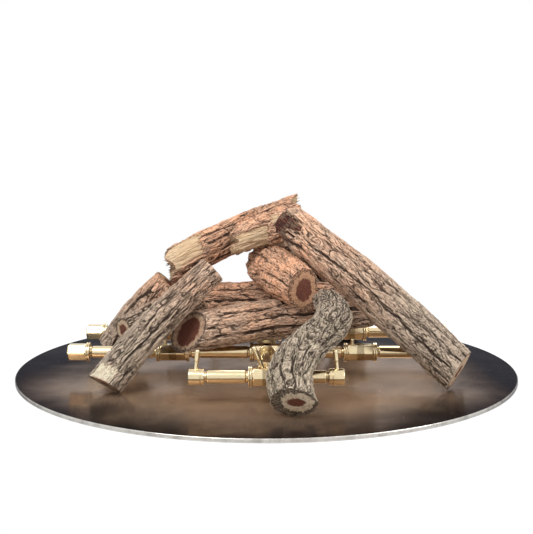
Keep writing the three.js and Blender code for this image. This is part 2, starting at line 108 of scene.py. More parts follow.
class LogSettings(bpy.types.PropertyGroup):
    furrow_depth: length("Furrow depth", "Depth of the long furrows in the bark", 0.0036)
    crack_depth: length("Crack depth", "Depth of the cracks between bark plates", 0.0013)
    fibre_depth: length("Fibre depth", "Depth of the grooves between strands of bark", 0.0009)
    bark_thickness: length("Bark thickness", "Thickness of the bark at a saw cut", 0.0055)
    mesh_step: length("Mesh step", "Distance between the rings of a log's mesh", 0.0013)
    bark_dark: colour("Dark bark", "Colour of the low parts of the bark", (0.1, 0.073, 0.053))
    bark_light: colour("Light bark", "Colour of the high parts of the bark", (0.53, 0.43, 0.337))
    # Painted highlight: the colour that raised bark edges are lightened towards.
    bark_edge: colour("Bark edge", "Colour of the bark's raised edges", (0.68, 0.57, 0.45))
    # Partly the colour deep in the cracks, partly painted shade there.
    furrow_and_shade: colour("Furrow", "Colour deep in the cracks", (0.034, 0.02, 0.013))
    # Painted flame light: the flames' glow reddening the bark.
    flame_glow: colour("Warm bark", "Colour of bark that the fire has reddened", (0.9, 0.41, 0.24))
    # Painted highlight on raised bark edges where the flames' glow falls.
    flame_lit_highlight: colour("Warm edge", "Colour of reddened bark's edges", (0.97, 0.59, 0.4))
    # Painted flame light: the flames' glow on bare and sawn wood.
    flame_glow_on_wood: colour("Warm wood", "Colour that the fire gives to wood", (0.98, 0.62, 0.38))
    moss: colour("Grey bark", "Colour of cool olive bark", (0.32, 0.266, 0.182))
    sapwood: colour("Sapwood", "Colour of pale wood where the bark is torn off", (0.86, 0.77, 0.58))
    sawn: colour("Sawn wood", "Colour of the wood at a saw cut", (0.54, 0.38, 0.26))
    heartwood: colour("Heartwood", "Colour of the dark inner wood", (0.17, 0.06, 0.038))
    char: colour("Char", "Colour of burnt wood", (0.05, 0.017, 0.013))
    scorched: colour("Scorched", "Colour of the splinters in burnt wood", (0.4, 0.15, 0.095))


class StageSettings(bpy.types.PropertyGroup):
    camera_place: bpy.props.FloatVectorProperty(
        name="Camera place", description="Where the camera stands",
        default=(0.0, -1.7811, 0.4212), size=3, unit="LENGTH", subtype="TRANSLATION")
    camera_tilt: bpy.props.FloatProperty(
        name="Camera tilt", description="How far the camera looks down",
        default=math.radians(7.34), unit="ROTATION", subtype="ANGLE")
    focal_pixels: bpy.props.FloatProperty(
        name="Focal length in pixels", description="Focal length in pixels of the picture",
        default=969.8)
    backdrop: colour("Backdrop", "Colour of the floor and backdrop", (0.9, 0.9, 0.9))
    key_power: bpy.props.FloatProperty(
        name="Key lamp", description="Power of the large soft lamp", default=50, unit="POWER")
    fill_power: bpy.props.FloatProperty(
        name="Fill lamp", description="Power of the soft lamp on the other side", default=24,
        unit="POWER")
    sky: bpy.props.FloatProperty(
        name="Sky", description="Strength of the even light", default=0.68, min=0)


# Noise and smoothing on whole arrays

def smooth_step(value, low, high):
    """0 below low, 1 above high, and an S-shaped cubic between them."""
    t = np.clip((value - low) / (high - low), 0, 1)
    return t * t * (3 - 2 * t)


def lattice_numbers(cells, seed):
    """A repeatable 32-bit number for each whole-number cell: its indices are multiplied by odd
    constants, folded together and stirred twice."""
    c = cells.astype(np.int64).astype(np.uint32)
    h = c[..., 0] * np.uint32(0x8DA6B343)
    h ^= c[..., 1] * np.uint32(0xD8163841)
    h ^= c[..., 2] * np.uint32(0xCB1AB31F)
    h ^= np.uint32((seed * 0x9E3779B1) & 0xFFFFFFFF)
    h ^= h >> np.uint32(13)
    h *= np.uint32(0x5BD1E995)
    h ^= h >> np.uint32(15)
    h *= np.uint32(0x2C1B3C6D)
    h ^= h >> np.uint32(12)
    return h


def share_of(numbers, shift):
    """Ten bits of a lattice number as a share from 0 to 1."""
    return ((numbers >> np.uint32(shift)) & np.uint32(1023)).astype(np.float32) / 1023


def noise(points, seed):
    """Smooth noise from about -1 to 1: in each unit cell the slopes at its eight corners are
    blended by a quintic, so that it has no seams."""
    low = np.floor(points)
    t = (points - low).astype(np.float32)
    fade = t * t * t * (t * (t * 6 - 15) + 10)
    total = np.zeros(points.shape[:-1], np.float32)
    for corner in np.ndindex(2, 2, 2):
        numbers = lattice_numbers(low + corner, seed)
        away = t - np.array(corner, np.float32)
        weight, slope = 1, 0
        for axis in range(3):
            weight = weight * (fade[..., axis] if corner[axis] else 1 - fade[..., axis])
            slope = slope + (share_of(numbers, 10 * axis) * 2 - 1) * away[..., axis]
        total += weight * slope
    return total * 1.6


def layered_noise(points, layers, seed):
    """Noise summed over layers, each twice as fine and half as strong as the one before."""
    total = np.zeros(points.shape[:-1], np.float32)
    for layer in range(layers):
        total += noise(points * 2 ** layer, seed + 17 * layer) / 2 ** layer
    return total


def cracked_cells(points, seed):
    """Cells round scattered points, one in each unit cube. Returns the gap between the distances
    to the two nearest, a tone for each cell and the offset from its own point."""
    low = np.floor(points)
    nearest = np.full(points.shape[:-1], 9, np.float32)
    second = nearest.copy()
    tone = np.zeros_like(nearest)
    offset = np.zeros(points.shape, np.float32)
    for step in np.ndindex(3, 3, 3):
        cell = low + step - 1
        numbers = lattice_numbers(cell, seed)
        spots = np.stack([share_of(numbers, shift) for shift in (0, 10, 20)], -1)
        apart = (points - cell - spots).astype(np.float32)
        distance = np.sqrt((apart * apart).sum(-1))
        closer = distance < nearest
        second = np.where(closer, nearest, np.minimum(second, distance))
        nearest = np.where(closer, distance, nearest)
        tone = np.where(closer, share_of(numbers, 5), tone)
        offset = np.where(closer[..., None], apart, offset)
    return second - nearest, tone, offset


# Meshes from grids of points

def ring_faces(rows, columns, first):
    """Faces of a ring grid, closed round it both ways."""
    grid = first + np.arange(rows * columns).reshape(rows, columns)
    beside, above = np.roll(grid, -1, 1), np.roll(grid, -1, 0)
    quads = np.stack([grid, beside, np.roll(above, -1, 1), above], -1)
    return quads.reshape(-1, 4), np.zeros((0, 3), int)


def tube_faces(rows, columns, first):
    """Faces of a tube grid: a ring grid's without its last row, and a fan to a pole at each end.
    The two poles come after the grid's points."""
    quads = ring_faces(rows, columns, first)[0][:-columns]
    low, high = quads[:columns, 0], quads[-columns:, 3]
    pole = np.full(columns, first + rows * columns)
    low_fan = np.stack([pole, np.roll(low, -1), low], -1)
    high_fan = np.stack([pole + 1, high, np.roll(high, -1)], -1)
    return quads, np.concatenate([low_fan, high_fan])


class Shells:
    """Collects closed grids of points and their values until they become one mesh."""

    def __init__(self):
        self.points = []
        self.quads = []
        self.tris = []
        self.values = {}
        self.count = 0

    def add(self, points, faces, **values):
        """Adds a grid's points in metres, its faces and one value for each point."""
        self.points.append(points.reshape(-1, 3))
        self.quads.append(faces[0])
        self.tris.append(faces[1])
        for name, value in values.items():
            self.values.setdefault(name, []).append(value)
        self.count += len(self.points[-1])

    def mesh(self, name, material):
        """The mesh of all that was added, smooth, with its values as attributes."""
        points = np.concatenate(self.points).astype(np.float32)
        quads = np.concatenate(self.quads)
        tris = np.concatenate(self.tris)
        mesh = bpy.data.meshes.new(name)
        mesh.vertices.add(len(points))
        mesh.vertices.foreach_set("co", points.ravel())
        loops = np.concatenate([quads.ravel(), tris.ravel()]).astype(np.int32)
        sizes = np.repeat([4, 3], [len(quads), len(tris)])
        mesh.loops.add(len(loops))
        mesh.loops.foreach_set("vertex_index", loops)
        mesh.polygons.add(len(sizes))
        mesh.polygons.foreach_set("loop_start", np.cumsum(sizes) - sizes)
        mesh.update(calc_edges=True)
        mesh.validate()
        mesh.shade_smooth()
        for value_name, parts in self.values.items():
            value = np.concatenate([np.asarray(p, np.float32) for p in parts])
            kind = "FLOAT_VECTOR" if value.ndim == 2 else "FLOAT"
            attribute = mesh.attributes.new(value_name, kind, "POINT")
            attribute.data.foreach_set("vector" if value.ndim == 2 else "value", value.ravel())
        mesh.materials.append(material)
        return mesh


def show_piece(name, mesh, body, nodes):
    """Puts a finished mesh in the scene in place of its CAD nodes, riding on their body."""
    piece = bpy.data.objects.new(name, mesh)
    bpy.context.scene.collection.objects.link(piece)
    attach(piece, body)
    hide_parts(*nodes)
    return piece


def show_brass(shells, settings, node, name=None):
    """Puts a finished piece of brass in place of its CAD node."""
    name = name or node + "_brass"
    mesh = shells.mesh(name, brass_material(settings))
    show_piece(name, mesh, "burner", [node])


def centre_of(node):
    """Middle of a CAD node's box, in mm."""
    low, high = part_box(node)
    return np.array((low + high) / 2) / MM


def size_of(node):
    """Sides of a CAD node's box, in mm."""
    low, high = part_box(node)
    return np.array(high - low) / MM


def points_of(node):
    """The points of a CAD node's mesh, in metres."""
    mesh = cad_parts[node].data
    flat = np.empty(len(mesh.vertices) * 3, np.float32)
    mesh.vertices.foreach_get("co", flat)
    return flat.reshape(-1, 3)


# Turned brass

def rounded_profile(corners, radius):
    """A profile of pairs (along, out) in mm whose corners are rounded by parabolas, with a point
    just before and after each so that the flats stay flat. Returns the pairs and a wear value
    for each: 0 on a flat, 1 on a square outer edge and -1 in a square inner one."""
    corners = np.array(corners, float)
    line, wear = [corners[0]], [0]
    for before, here, after in zip(corners, corners[1:], corners[2:]):
        inward, outward = here - before, after - here
        reach = min(radius, 0.36 * np.hypot(*inward), 0.36 * np.hypot(*outward))
        inward /= np.hypot(*inward)
        outward /= np.hypot(*outward)
        bend = inward[1] * outward[0] - inward[0] * outward[1]
        line.append(here - inward * reach * 1.3)
        for t in np.linspace(0, 1, 5):
            line.append(here + reach * (outward * t ** 2 - inward * (1 - t) ** 2))
        line.append(here + outward * reach * 1.3)
        wear += [0] + [bend] * 5 + [0]
    return np.array(line + [corners[-1]]), np.array(wear + [0.0])


def finer_between(line, wear, low, high, step):
    """The profile with points added between two places along it, a step apart."""
    places = np.concatenate([[0], np.cumsum(np.hypot(*np.diff(line, axis=0).T))])
    samples = np.arange(0, places[-1], step)
    along = np.interp(samples, places, line[:, 0])
    every = np.unique(np.concatenate([places, samples[(along >= low) & (along <= high)]]))
    finer = [np.interp(every, places, line[:, side]) for side in (0, 1)]
    return np.stack(finer, -1), np.interp(every, places, wear)


def hexagon(angles, flat, crispness=26):
    """Distance to a hexagon with rounded corners: the flat's distance over a power mean of the
    cosines to the six flats, the first of which faces the angle zero."""
    cosines = np.cos(angles[..., None] - np.arange(6) * TURN / 6)
    return flat / (np.clip(cosines, 0, 1) ** crispness).sum(-1) ** (1 / crispness)


def axes_along(direction):
    """Three unit axes, side, up and ahead, of which the last is the direction."""
    ahead = np.array(direction, float)
    ahead /= np.linalg.norm(ahead)
    helper = np.array([0.0, 1, 0]) if abs(ahead[2]) > 0.8 else np.array([0.0, 0, 1])
    side = np.cross(helper, ahead)
    side /= np.linalg.norm(side)
    return np.stack([side, np.cross(ahead, side), ahead])


def add_turned(shells, profile, centre, direction, columns, shape=None, ring=False):
    """Carries a profile round an axis: each point is the centre, plus its place along the axis,
    plus its distance out times cosine and sine of the turn. A shape may change the distance and
    gives it from the turn, the place along and the distance. All in mm."""
    line, wear = profile
    side, up, ahead = axes_along(direction)
    turn = np.arange(columns) * TURN / columns
    angles, along = np.meshgrid(turn, line[:, 0])
    out = np.broadcast_to(line[:, 1][:, None], angles.shape)
    if shape:
        out = shape(angles, along, out)
    points = (along[..., None] * ahead + (out * np.cos(angles))[..., None] * side
              + (out * np.sin(angles))[..., None] * up)
    points = points + np.array(centre)
    wear = np.broadcast_to(wear[:, None], angles.shape).ravel()
    if ring:
        shells.add(points * MM, ring_faces(*angles.shape, shells.count), wear=wear)
        return
    poles = np.array([centre + ahead * line[0, 0], centre + ahead * line[-1, 0]])
    points = np.concatenate([points.reshape(-1, 3), poles]) * MM
    faces = tube_faces(*angles.shape, shells.count)
    shells.add(points, faces, wear=np.concatenate([wear, [0, 0]]))


# Shader nodes

def put(socket, value):
    """Gives a socket a value, or a link where the value is itself a socket."""
    if isinstance(value, bpy.types.NodeSocket):
        socket.id_data.links.new(value, socket)
    else:
        socket.default_value = value


def add_node(tree, kind, settings=None, **values):
    """Adds a node with its settings and values. An underscore in a name stands for a space."""
    node = tree.nodes.new(kind)
    for name, value in (settings or {}).items():
        setattr(node, name, value)
    for name, value in values.items():
        put(node.inputs[name.replace("_", " ")], value)
    return node


def maths(operation, first, second, clamp=False):
    """An operation on a socket's value and another value."""
    node = add_node(
        first.id_data, "ShaderNodeMath", {"operation": operation, "use_clamp": clamp})
    put(node.inputs[0], first)
    put(node.inputs[1], second)
    return node.outputs[0]


def plus(first, second, clamp=False):
    """The sum of a socket's value and another value."""
    return maths("ADD", first, second, clamp)


def times(first, second, clamp=False):
    """The product of a socket's value and another value."""
    return maths("MULTIPLY", first, second, clamp)


def vector_maths(operation, first, second=(0, 0, 0), output=0):
    """An operation on a socket's vector and another vector."""
    node = add_node(first.id_data, "ShaderNodeVectorMath", {"operation": operation})
    put(node.inputs[0], first)
    put(node.inputs[1], second)
    return node.outputs[output]


def mixed(factor, first, second, blend="MIX"):
    """Two colours mixed by a socket's value."""
    node = add_node(
        factor.id_data, "ShaderNodeMix", {"data_type": "RGBA", "blend_type": blend})
    put(node.inputs[0], factor)
    for socket, value in ((node.inputs[6], first), (node.inputs[7], second)):
        put(socket, value if isinstance(value, bpy.types.NodeSocket) else (*value, 1))
    return node.outputs[2]


def tint(base, factor, most=1):
    """A colour made darker or lighter."""
    return [min(most, factor * part) for part in base]


def between(value, low, high, to_low=0.0, to_high=1.0):
    """A socket's value carried smoothly from one range to another and held at its ends."""
    return add_node(
        value.id_data, "ShaderNodeMapRange", {"interpolation_type": "SMOOTHSTEP"}, Value=value,
        From_Min=low, From_Max=high, To_Min=to_low, To_Max=to_high).outputs["Result"]


def noise_value(vector, scale, detail=4.0, roughness=0.55, distortion=0.0):
    """A noise texture's value."""
    return add_node(
        vector.id_data, "ShaderNodeTexNoise", Vector=vector, Scale=scale, Detail=detail,
        Roughness=roughness, Distortion=distortion).outputs["Fac"]


def stored(tree, name, output="Fac"):
    """A value that the mesh carries as an attribute."""
    return add_node(tree, "ShaderNodeAttribute", {"attribute_name": name}).outputs[output]


def raise_bumps(shader, height, distance, strength):
    """Makes a surface uneven by a height."""
    bump = add_node(shader.id_data, "ShaderNodeBump", Height=height, Distance=distance,
                    Strength=strength)
    put(shader.inputs["Normal"], bump.outputs[0])


def new_material(name):
    """An empty node material with its shader, and its tree."""
    material = bpy.data.materials.new(name)
    material.use_nodes = True
    tree = material.node_tree
    tree.nodes.clear()
    shader = tree.nodes.new("ShaderNodeBsdfPrincipled")
    output = tree.nodes.new("ShaderNodeOutputMaterial")
    tree.links.new(shader.outputs[0], output.inputs[0])
    return material, tree, shader


def new_group(name, inputs, outputs):
    """An empty node group with float or vector inputs and float outputs."""
    group = bpy.data.node_groups.new(name, "ShaderNodeTree")
    for socket, kind, default in inputs:
        made = group.interface.new_socket(
            name=socket, in_out="INPUT", socket_type="NodeSocket" + kind)
        if kind == "Float":
            made.default_value = default
    for socket in outputs:
        group.interface.new_socket(name=socket, in_out="OUTPUT", socket_type="NodeSocketFloat")
    return group, group.nodes.new("NodeGroupInput"), group.nodes.new("NodeGroupOutput")


def use_group(tree, group, **values):
    """Places a node group with its own values."""
    return add_node(tree, "ShaderNodeGroup", {"node_tree": group}, **values)


def grain_group():
    """Wood grain: long fibres, pores and blotches, stretched along the log's own X."""
    group = bpy.data.node_groups.get("wood grain")
    if group:
        return group
    inputs = [("Place", "Vector", None), ("Fineness", "Float", 1.0), ("Stretch", "Float", 9.0)]
    group, given, out = new_group("wood grain", inputs, ["Fibre", "Pore", "Blotch"])
    place = given.outputs["Place"]
    across = times(given.outputs["Fineness"], 520)
    along = maths("DIVIDE", across, given.outputs["Stretch"])
    factors = add_node(group, "ShaderNodeCombineXYZ", X=along, Y=across, Z=across).outputs[0]
    stretched = vector_maths("MULTIPLY", place, factors)
    fibre = noise_value(stretched, 1.0, 5.0, 0.65, 0.4)
    put(out.inputs["Fibre"], between(fibre, 0.3, 0.7))
    pore = noise_value(place, 380.0, 4.0, 0.7)
    put(out.inputs["Pore"], between(pore, 0.36, 0.64))
    blotch = noise_value(place, 34.0, 4.0, 0.6)
    put(out.inputs["Blotch"], between(blotch, 0.32, 0.68))
    return group


def wear_group():
    """Metal wear: smudges, fine pits and scratches that run every way."""
    group = bpy.data.node_groups.get("metal wear")
    if group:
        return group
    inputs = [("Place", "Vector", None), ("Smudge size", "Float", 9.0)]
    group, given, out = new_group("metal wear", inputs, ["Smudge", "Pit", "Scratch"])
    place = given.outputs["Place"]
    smudge = noise_value(place, given.outputs["Smudge size"], 6.0, 0.62, 0.5)
    put(out.inputs["Smudge"], between(smudge, 0.34, 0.68))
    pit = noise_value(place, 620.0, 3.0, 0.6)
    put(out.inputs["Pit"], between(pit, 0.4, 0.75))
    lines = []
    for factors in ((9.0, 420.0, 60.0), (380.0, 12.0, 60.0), (150.0, 170.0, 60.0)):
        stretched = vector_maths("MULTIPLY", place, factors)
        streak = noise_value(stretched, 1.0, 3.0, 0.6, 0.9)
        lines.append(between(streak, 0.66, 0.8))
    most = maths("MAXIMUM", maths("MAXIMUM", lines[0], lines[1]), lines[2])
    put(out.inputs["Scratch"], most)
    return group


def steel_material(settings):
    """Rolled steel: dark and half mirror-like, smudged and scratched, with a duller brown patch
    round the burner and towards the front, partly oxide staining from the flames and partly a
    painted reflection of their glow, and bare along the rim."""
    material, tree, shader = new_material("rolled steel")
    place = tree.nodes.new("ShaderNodeTexCoord").outputs["Object"]
    wear = use_group(tree, wear_group(), Place=place, Smudge_size=7.0)
    smudge, scratch = wear.outputs["Smudge"], wear.outputs["Scratch"]
    spread = noise_value(place, 3.2, 5.0, 0.6, 0.8)
    # The brown patch is centred a little in front of the burner, where the plate mirrors the
    # flames: a painted reflection of their glow over real heat staining.
    forward = vector_maths("ADD", place, (0.0, 0.1, 0.0))
    level = vector_maths("MULTIPLY", forward, (0.9, 1, 0))
    distance = vector_maths("LENGTH", level, output="Value")
    stain_and_reflection = between(plus(distance, times(spread, 0.2)), 0.5, 0.3)
    body = mixed(stain_and_reflection, settings.steel, settings.stain_and_reflection)
    darker = mixed(times(smudge, 0.4), body, tint(settings.steel, 0.5))
    scratched = mixed(times(scratch, 0.3), darker, settings.scratch)
    worn = between(noise_value(place, 60.0, 4.0), 0.25, 0.6, 0.55, 1.0)
    rim = times(stored(tree, "wear"), worn)
    put(shader.inputs["Base Color"], mixed(rim, scratched, settings.bare_rim))
    rough = plus(between(spread, 0.3, 0.7, 0.08, 0.19), times(smudge, 0.1))
    put(shader.inputs["Roughness"], plus(rough, times(scratch, 0.1)))
    put(shader.inputs["Metallic"], between(stain_and_reflection, 0, 1, 0.97, 0.5))
    shader.inputs["Specular Tint"].default_value = (0.28, 0.28, 0.295, 1)
    height = plus(noise_value(place, 16.0, 2.0), times(wear.outputs["Pit"], -0.06))
    raise_bumps(shader, height, 0.0012, 0.35)
    return material


def brass_material(settings):
    """Polished brass: bright edges, tarnish in its grooves, smudges, scratches, fine pits and a
    heat tint on patches that the flames reach."""
    material = bpy.data.materials.get("polished brass")
    if material:
        return material
    material, tree, shader = new_material("polished brass")
    place = tree.nodes.new("ShaderNodeTexCoord").outputs["Object"]
    wear = use_group(tree, wear_group(), Place=place, Smudge_size=38.0)
    smudge, scratch = wear.outputs["Smudge"], wear.outputs["Scratch"]
    edge = stored(tree, "wear")
    groove = times(times(edge, -1, True), between(smudge, 0.0, 1.0, 0.65, 1.0))
    heat = between(noise_value(place, 11.0, 4.0, 0.6, 0.6), 0.5, 0.7, 0.0, 0.45)
    body = mixed(heat, settings.brass, settings.heat_tint)
    smudged = mixed(times(smudge, 0.22), body, tint(settings.brass, 0.55))
    worn = mixed(times(edge, 0.5, True), smudged, settings.worn_edge)
    put(shader.inputs["Base Color"], mixed(groove, worn, settings.tarnish))
    rough = plus(plus(times(smudge, 0.14), 0.13), times(groove, 0.35))
    put(shader.inputs["Roughness"], plus(rough, times(scratch, 0.12)))
    shader.inputs["Metallic"].default_value = 1
    height = plus(times(wear.outputs["Pit"], -0.5), times(scratch, -0.5))
    raise_bumps(shader, height, 0.00012, 0.5)
    return material


def bark_material(settings):
    """Moulded log: strands and plates of bark over dark furrows, reddened by painted flame glow or
    greyed by place, with painted highlights on raised edges and painted shade in furrows and
    hollows, with pale torn wood, tan saw cuts, chocolate heartwood and char where the mesh says so."""
    material, tree, shader = new_material("moulded log")
    place = stored(tree, "grain_place", "Vector")
    bark_grain = use_group(tree, grain_group(), Place=place, Fineness=0.75, Stretch=6.0)
    wood_grain = use_group(tree, grain_group(), Place=place, Fineness=1.0, Stretch=18.0)
    fibre, pore = bark_grain.outputs["Fibre"], bark_grain.outputs["Pore"]
    blotch, streak = bark_grain.outputs["Blotch"], wood_grain.outputs["Fibre"]
    edge, flame_glow = stored(tree, "edge"), stored(tree, "flame_glow")
    plate_tone = stored(tree, "plate_tone")

    # High bark is lighter and low bark darker: partly the bark's own tone, partly painted highlight
    # and shade.
    tone = plus(times(stored(tree, "relief"), 0.55), times(plate_tone, 0.36))
    tone = plus(tone, between(fibre, 0, 1, -0.2, 0.42))
    tone = plus(tone, between(pore, 0, 1, 0.16, -0.36), True)
    bark = mixed(tone, settings.bark_dark, settings.bark_light)
    grey = times(stored(tree, "moss"), between(blotch, 0, 1, 0.45, 1.0))
    bark = mixed(grey, bark, mixed(tone, tint(settings.moss, 0.16), tint(settings.moss, 1.45)))
    # Painted flame light: bark reddened by the flames' glow, in blotches.
    red = mixed(tone, tint(settings.flame_glow, 0.2), tint(settings.flame_glow, 1.27))
    bark = mixed(times(flame_glow, between(blotch, 0, 1, 1.0, 0.65)), bark, red)
    # Painted highlight on raised edges, in the flame-lit colour where the flames' glow falls.
    lit = mixed(flame_glow, settings.bark_edge, settings.flame_lit_highlight)
    bark = mixed(times(edge, 0.62, True), bark, lit)
    # Painted shade in hollows, where the edge value is below zero, on top of the darkened cracks
    # and furrows.
    sunk = times(edge, -0.95, True)
    furrow_and_shade = maths("MAXIMUM", stored(tree, "furrow_and_shade"), sunk)
    bark = mixed(furrow_and_shade, bark, settings.furrow_and_shade)

    torn = mixed(streak, tint(settings.sapwood, 0.66), tint(settings.sapwood, 1.15, 0.95))
    growth = plus(times(streak, 0.5), times(plate_tone, 0.5))
    sawn = mixed(growth, tint(settings.sawn, 0.6), tint(settings.sawn, 1.35))
    wood = mixed(stored(tree, "sawn"), torn, sawn)
    # Painted flame light on the bare wood.
    wood = mixed(times(flame_glow, 0.62), wood, settings.flame_glow_on_wood, "MULTIPLY")
    wood = mixed(times(wood_grain.outputs["Pore"], 0.25), wood, tint(settings.sapwood, 0.4))
    heart = mixed(streak, tint(settings.heartwood, 0.5), tint(settings.heartwood, 1.15))
    wood = mixed(stored(tree, "heart"), wood, heart)
    # Drying cracks darken the wood, and its hollows get painted shade.
    crack = maths("MAXIMUM", stored(tree, "check"), sunk)
    wood = mixed(crack, wood, tint(settings.heartwood, 1.6))

    surface = mixed(stored(tree, "bare"), bark, wood)
    char = times(stored(tree, "char"), between(blotch, 0, 0.6, 0.8, 1.0))
    ember = between(streak, 0.55, 1.0)
    surface = mixed(char, surface, mixed(ember, settings.char, settings.scorched))
    put(shader.inputs["Base Color"], surface)
    put(shader.inputs["Roughness"], between(pore, 0.0, 1.0, 0.78, 0.95))
    shader.inputs["Specular IOR Level"].default_value = 0.25
    height = plus(times(fibre, 0.7), times(pore, -0.5))
    raise_bumps(shader, height, 0.0016, 0.8)
    return material


# The logs

@dataclasses.dataclass
class Look:
    """How one log looks. Plates are the length and width of its bark plates in mm, light is painted
    light and shade that lifts or lowers the bark's tone at the low and at the high end, splinter
    is the length in mm of the fibres of bare wood, and rind is how thick the bark is next to the
    usual. Ends say how each end is finished: sawn, dark (a sawn end darkened with painted
    shade), torn or charred. The heart is a share of an end's radius, and its form is its stretch
    and its offset sideways and upwards. A patch is where bark is missing: from and to a share
    of the length, the direction that it faces, its half width as a turn in degrees, how pale it
    is, how deep in mm and how charred. A knot has a share of the length, the direction that it
    faces, its radius and its height in mm."""
    body: str
    seed: int
    plates: tuple = (40, 9)
    furrows: float = 1.0
    crumble: float = 0.5
    # Strength of the painted flame glow on this log's bark.
    flame_glow: float = 0.3
    moss: float = 0.3
    ends: tuple = ("sawn", "sawn")
    sawn: float = 1.0
    heart: float = 0.45
    heart_form: tuple = (1, 0, 0)
    star: float = 0.02
    light: tuple = (0, 0)
    splinter: float = 38
    rind: float = 1.0
    patches: tuple = ()
    knots: tuple = ()


LOOKS = {
    "log_left": Look(
        "left_log", 3, plates=(52, 10), crumble=0.6, flame_glow=0.4, moss=0.35,
        ends=("dark", "sawn"), heart=0.3, splinter=11,
        patches=[(-0.05, 0.11, (-0.275, -0.786, 0.575), 50, 1.0, 3, 0)],
        knots=[(0.14, (-0.2, -0.9, 0.4), 11, 2)]),
    "log_left_inner": Look(
        "burner", 5, plates=(36, 8), flame_glow=0.55, moss=0.3, sawn=0.75, heart=0.5,
        heart_form=(1, 0.05, 0.05), star=0.09),
    "log_rear_left": Look(
        "rear_left_log", 7, plates=(40, 9), flame_glow=0.8, moss=0.1, heart=0.5, light=(0.2, 0.2)),
    "log_cross_front": Look(
        "burner", 11, plates=(48, 9), crumble=0.8, flame_glow=0.42, moss=0.1,
        heart=0.66, heart_form=(1.1, 0, 0), star=0.03, light=(1.1, -0.1)),
    "log_cross_rear": Look(
        "burner", 13, plates=(40, 10), flame_glow=0.7, moss=0.1, heart=0.5, light=(0.5, 0.2)),
    "log_stub": Look(
        "burner", 17, plates=(17, 6), furrows=0.7, crumble=1.0, flame_glow=0.95, moss=0.0,
        heart=0.56, heart_form=(1.05, -0.08, -0.1), star=0.02, light=(0.65, 0.65)),
    "log_front": Look(
        "front_log", 19, plates=(25, 13), furrows=0.9, crumble=1.05, flame_glow=0.12, moss=0.75,
        sawn=0.4, heart=0.34, heart_form=(0.85, -0.1, 0.02), star=0.01, splinter=9,
        light=(0.2, -0.75), rind=1.9,
        patches=[(0.34, 0.4, (0.85, -0.5, 0.35), 24, 0.75, 2, 0),
                 (0.45, 0.465, (-0.5, -0.8, 0.3), 46, 0.0, 3.5, 0.8)],
        knots=[(0.66, (-0.2, -0.8, 0.6), 8, 2.5), (0.4, (0.1, -0.9, 0.5), 13, 3)]),
    "log_right": Look(
        "right_log", 23, plates=(44, 9), furrows=0.95, crumble=0.7, flame_glow=0.5, moss=0.25,
        ends=("sawn", "charred"), heart=0.35, light=(-0.05, 0.75),
        patches=[(0.9, 1.2, (-0.55, -0.8, -0.2), 62, 1.0, 9, 1),
                 (0.475, 0.49, (0.15, -0.6, 0.8), 30, 0.0, 3.5, 0.8)],
        knots=[(0.4, (0.1, -0.75, 0.7), 10, 2.5)]),
    "log_rear_right": Look(
        "rear_right_log", 29, plates=(40, 10), flame_glow=0.35, moss=0.3, heart=0.42),
    "log_top": Look(
        "top_log", 31, plates=(30, 7), furrows=0.9, crumble=1.4, flame_glow=0.75, moss=0.0,
        ends=("torn", "torn"), light=(0.7, 0.6),
        patches=[(-0.1, 0.55, (0.1, -0.75, -0.5), 66, 0.95, 4, 0),
                 (0.6, 0.74, (0.2, -0.6, 0.75), 34, 0.8, 3, 0),
                 (0.74, 0.95, (0.0, -0.95, -0.3), 32, 0.3, 5, 0.7),
                 (0.9, 1.2, (0.3, -0.9, 0.2), 80, 1.0, 4, 1)]),
    "log_crown": Look(
        "crown_log", 37, plates=(44, 8), furrows=0.9, crumble=1.0, flame_glow=0.8, moss=0.0,
        ends=("torn", "torn"), light=(0.2, 0.1),
        patches=[(-0.1, 0.26, (-0.3, -0.7, 0.5), 56, 0.8, 4, 0)]),
}


def log_rings(name):
    """The rings of a CAD log in its own frame in mm: X runs from its low end to its top end and Y
    is level. Returns them as rings x sectors x 3 with the frame's origin and axes. The two end
    centres are the corners that most faces share, and each further ring is the next set of
    neighbours out from the low one."""
    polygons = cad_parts[name].data.polygons
    corners = np.empty(len(polygons) * 3, np.int32)
    polygons.foreach_get("vertices", corners)
    whole = np.round(points_of(name).astype(float) * 1e5).astype(int)
    spots, which = np.unique(whole, axis=0, return_inverse=True)
    spots = spots / 100.0
    faces = which.ravel()[corners].reshape(-1, 3)
    ends = np.argsort(-np.bincount(faces.ravel()))[:2]
    low, high = sorted(ends, key=lambda i: spots[i, 2])
    x_axis = spots[high] - spots[low]
    x_axis /= np.linalg.norm(x_axis)
    y_axis = np.cross([0, 0, 1], x_axis)
    y_axis /= np.linalg.norm(y_axis)
    axes = np.stack([x_axis, y_axis, np.cross(x_axis, y_axis)])
    local = (spots - spots[low]) @ axes.T
    every = np.arange(len(spots))
    reached = np.isin(every, (low, high))
    front = every == low
    rings = []
    while True:
        front = np.isin(every, faces[front[faces].any(1)]) & ~reached
        if not front.any():
            break
        reached |= front
        ring = local[front]
        middle = ring.mean(0)
        angle = np.arctan2(ring[:, 2] - middle[2], ring[:, 1] - middle[1]) % TURN
        ring = ring[np.argsort(angle)]
        even = np.arange(len(ring)) * TURN / len(ring)
        late = np.angle(np.exp(1j * (np.sort(angle) - even)).mean())
        rings.append(np.roll(ring, round(late / TURN * len(ring)), 0))
    return np.array(rings), spots[low], axes


def waves_round(rings, columns, most=None):
    """Each ring's points on more columns: a sum of sine waves through them all, or of only the
    longest waves, which leaves out the ridges."""
    waves = np.fft.rfft(rings, axis=1)
    waves[:, -1] *= 0.5
    if most:
        waves = waves[:, :most + 1]
    filled = np.zeros((rings.shape[0], columns // 2 + 1, 3), complex)
    filled[:, :waves.shape[1]] = waves
    return np.fft.irfft(filled, columns, axis=1) * columns / rings.shape[1]


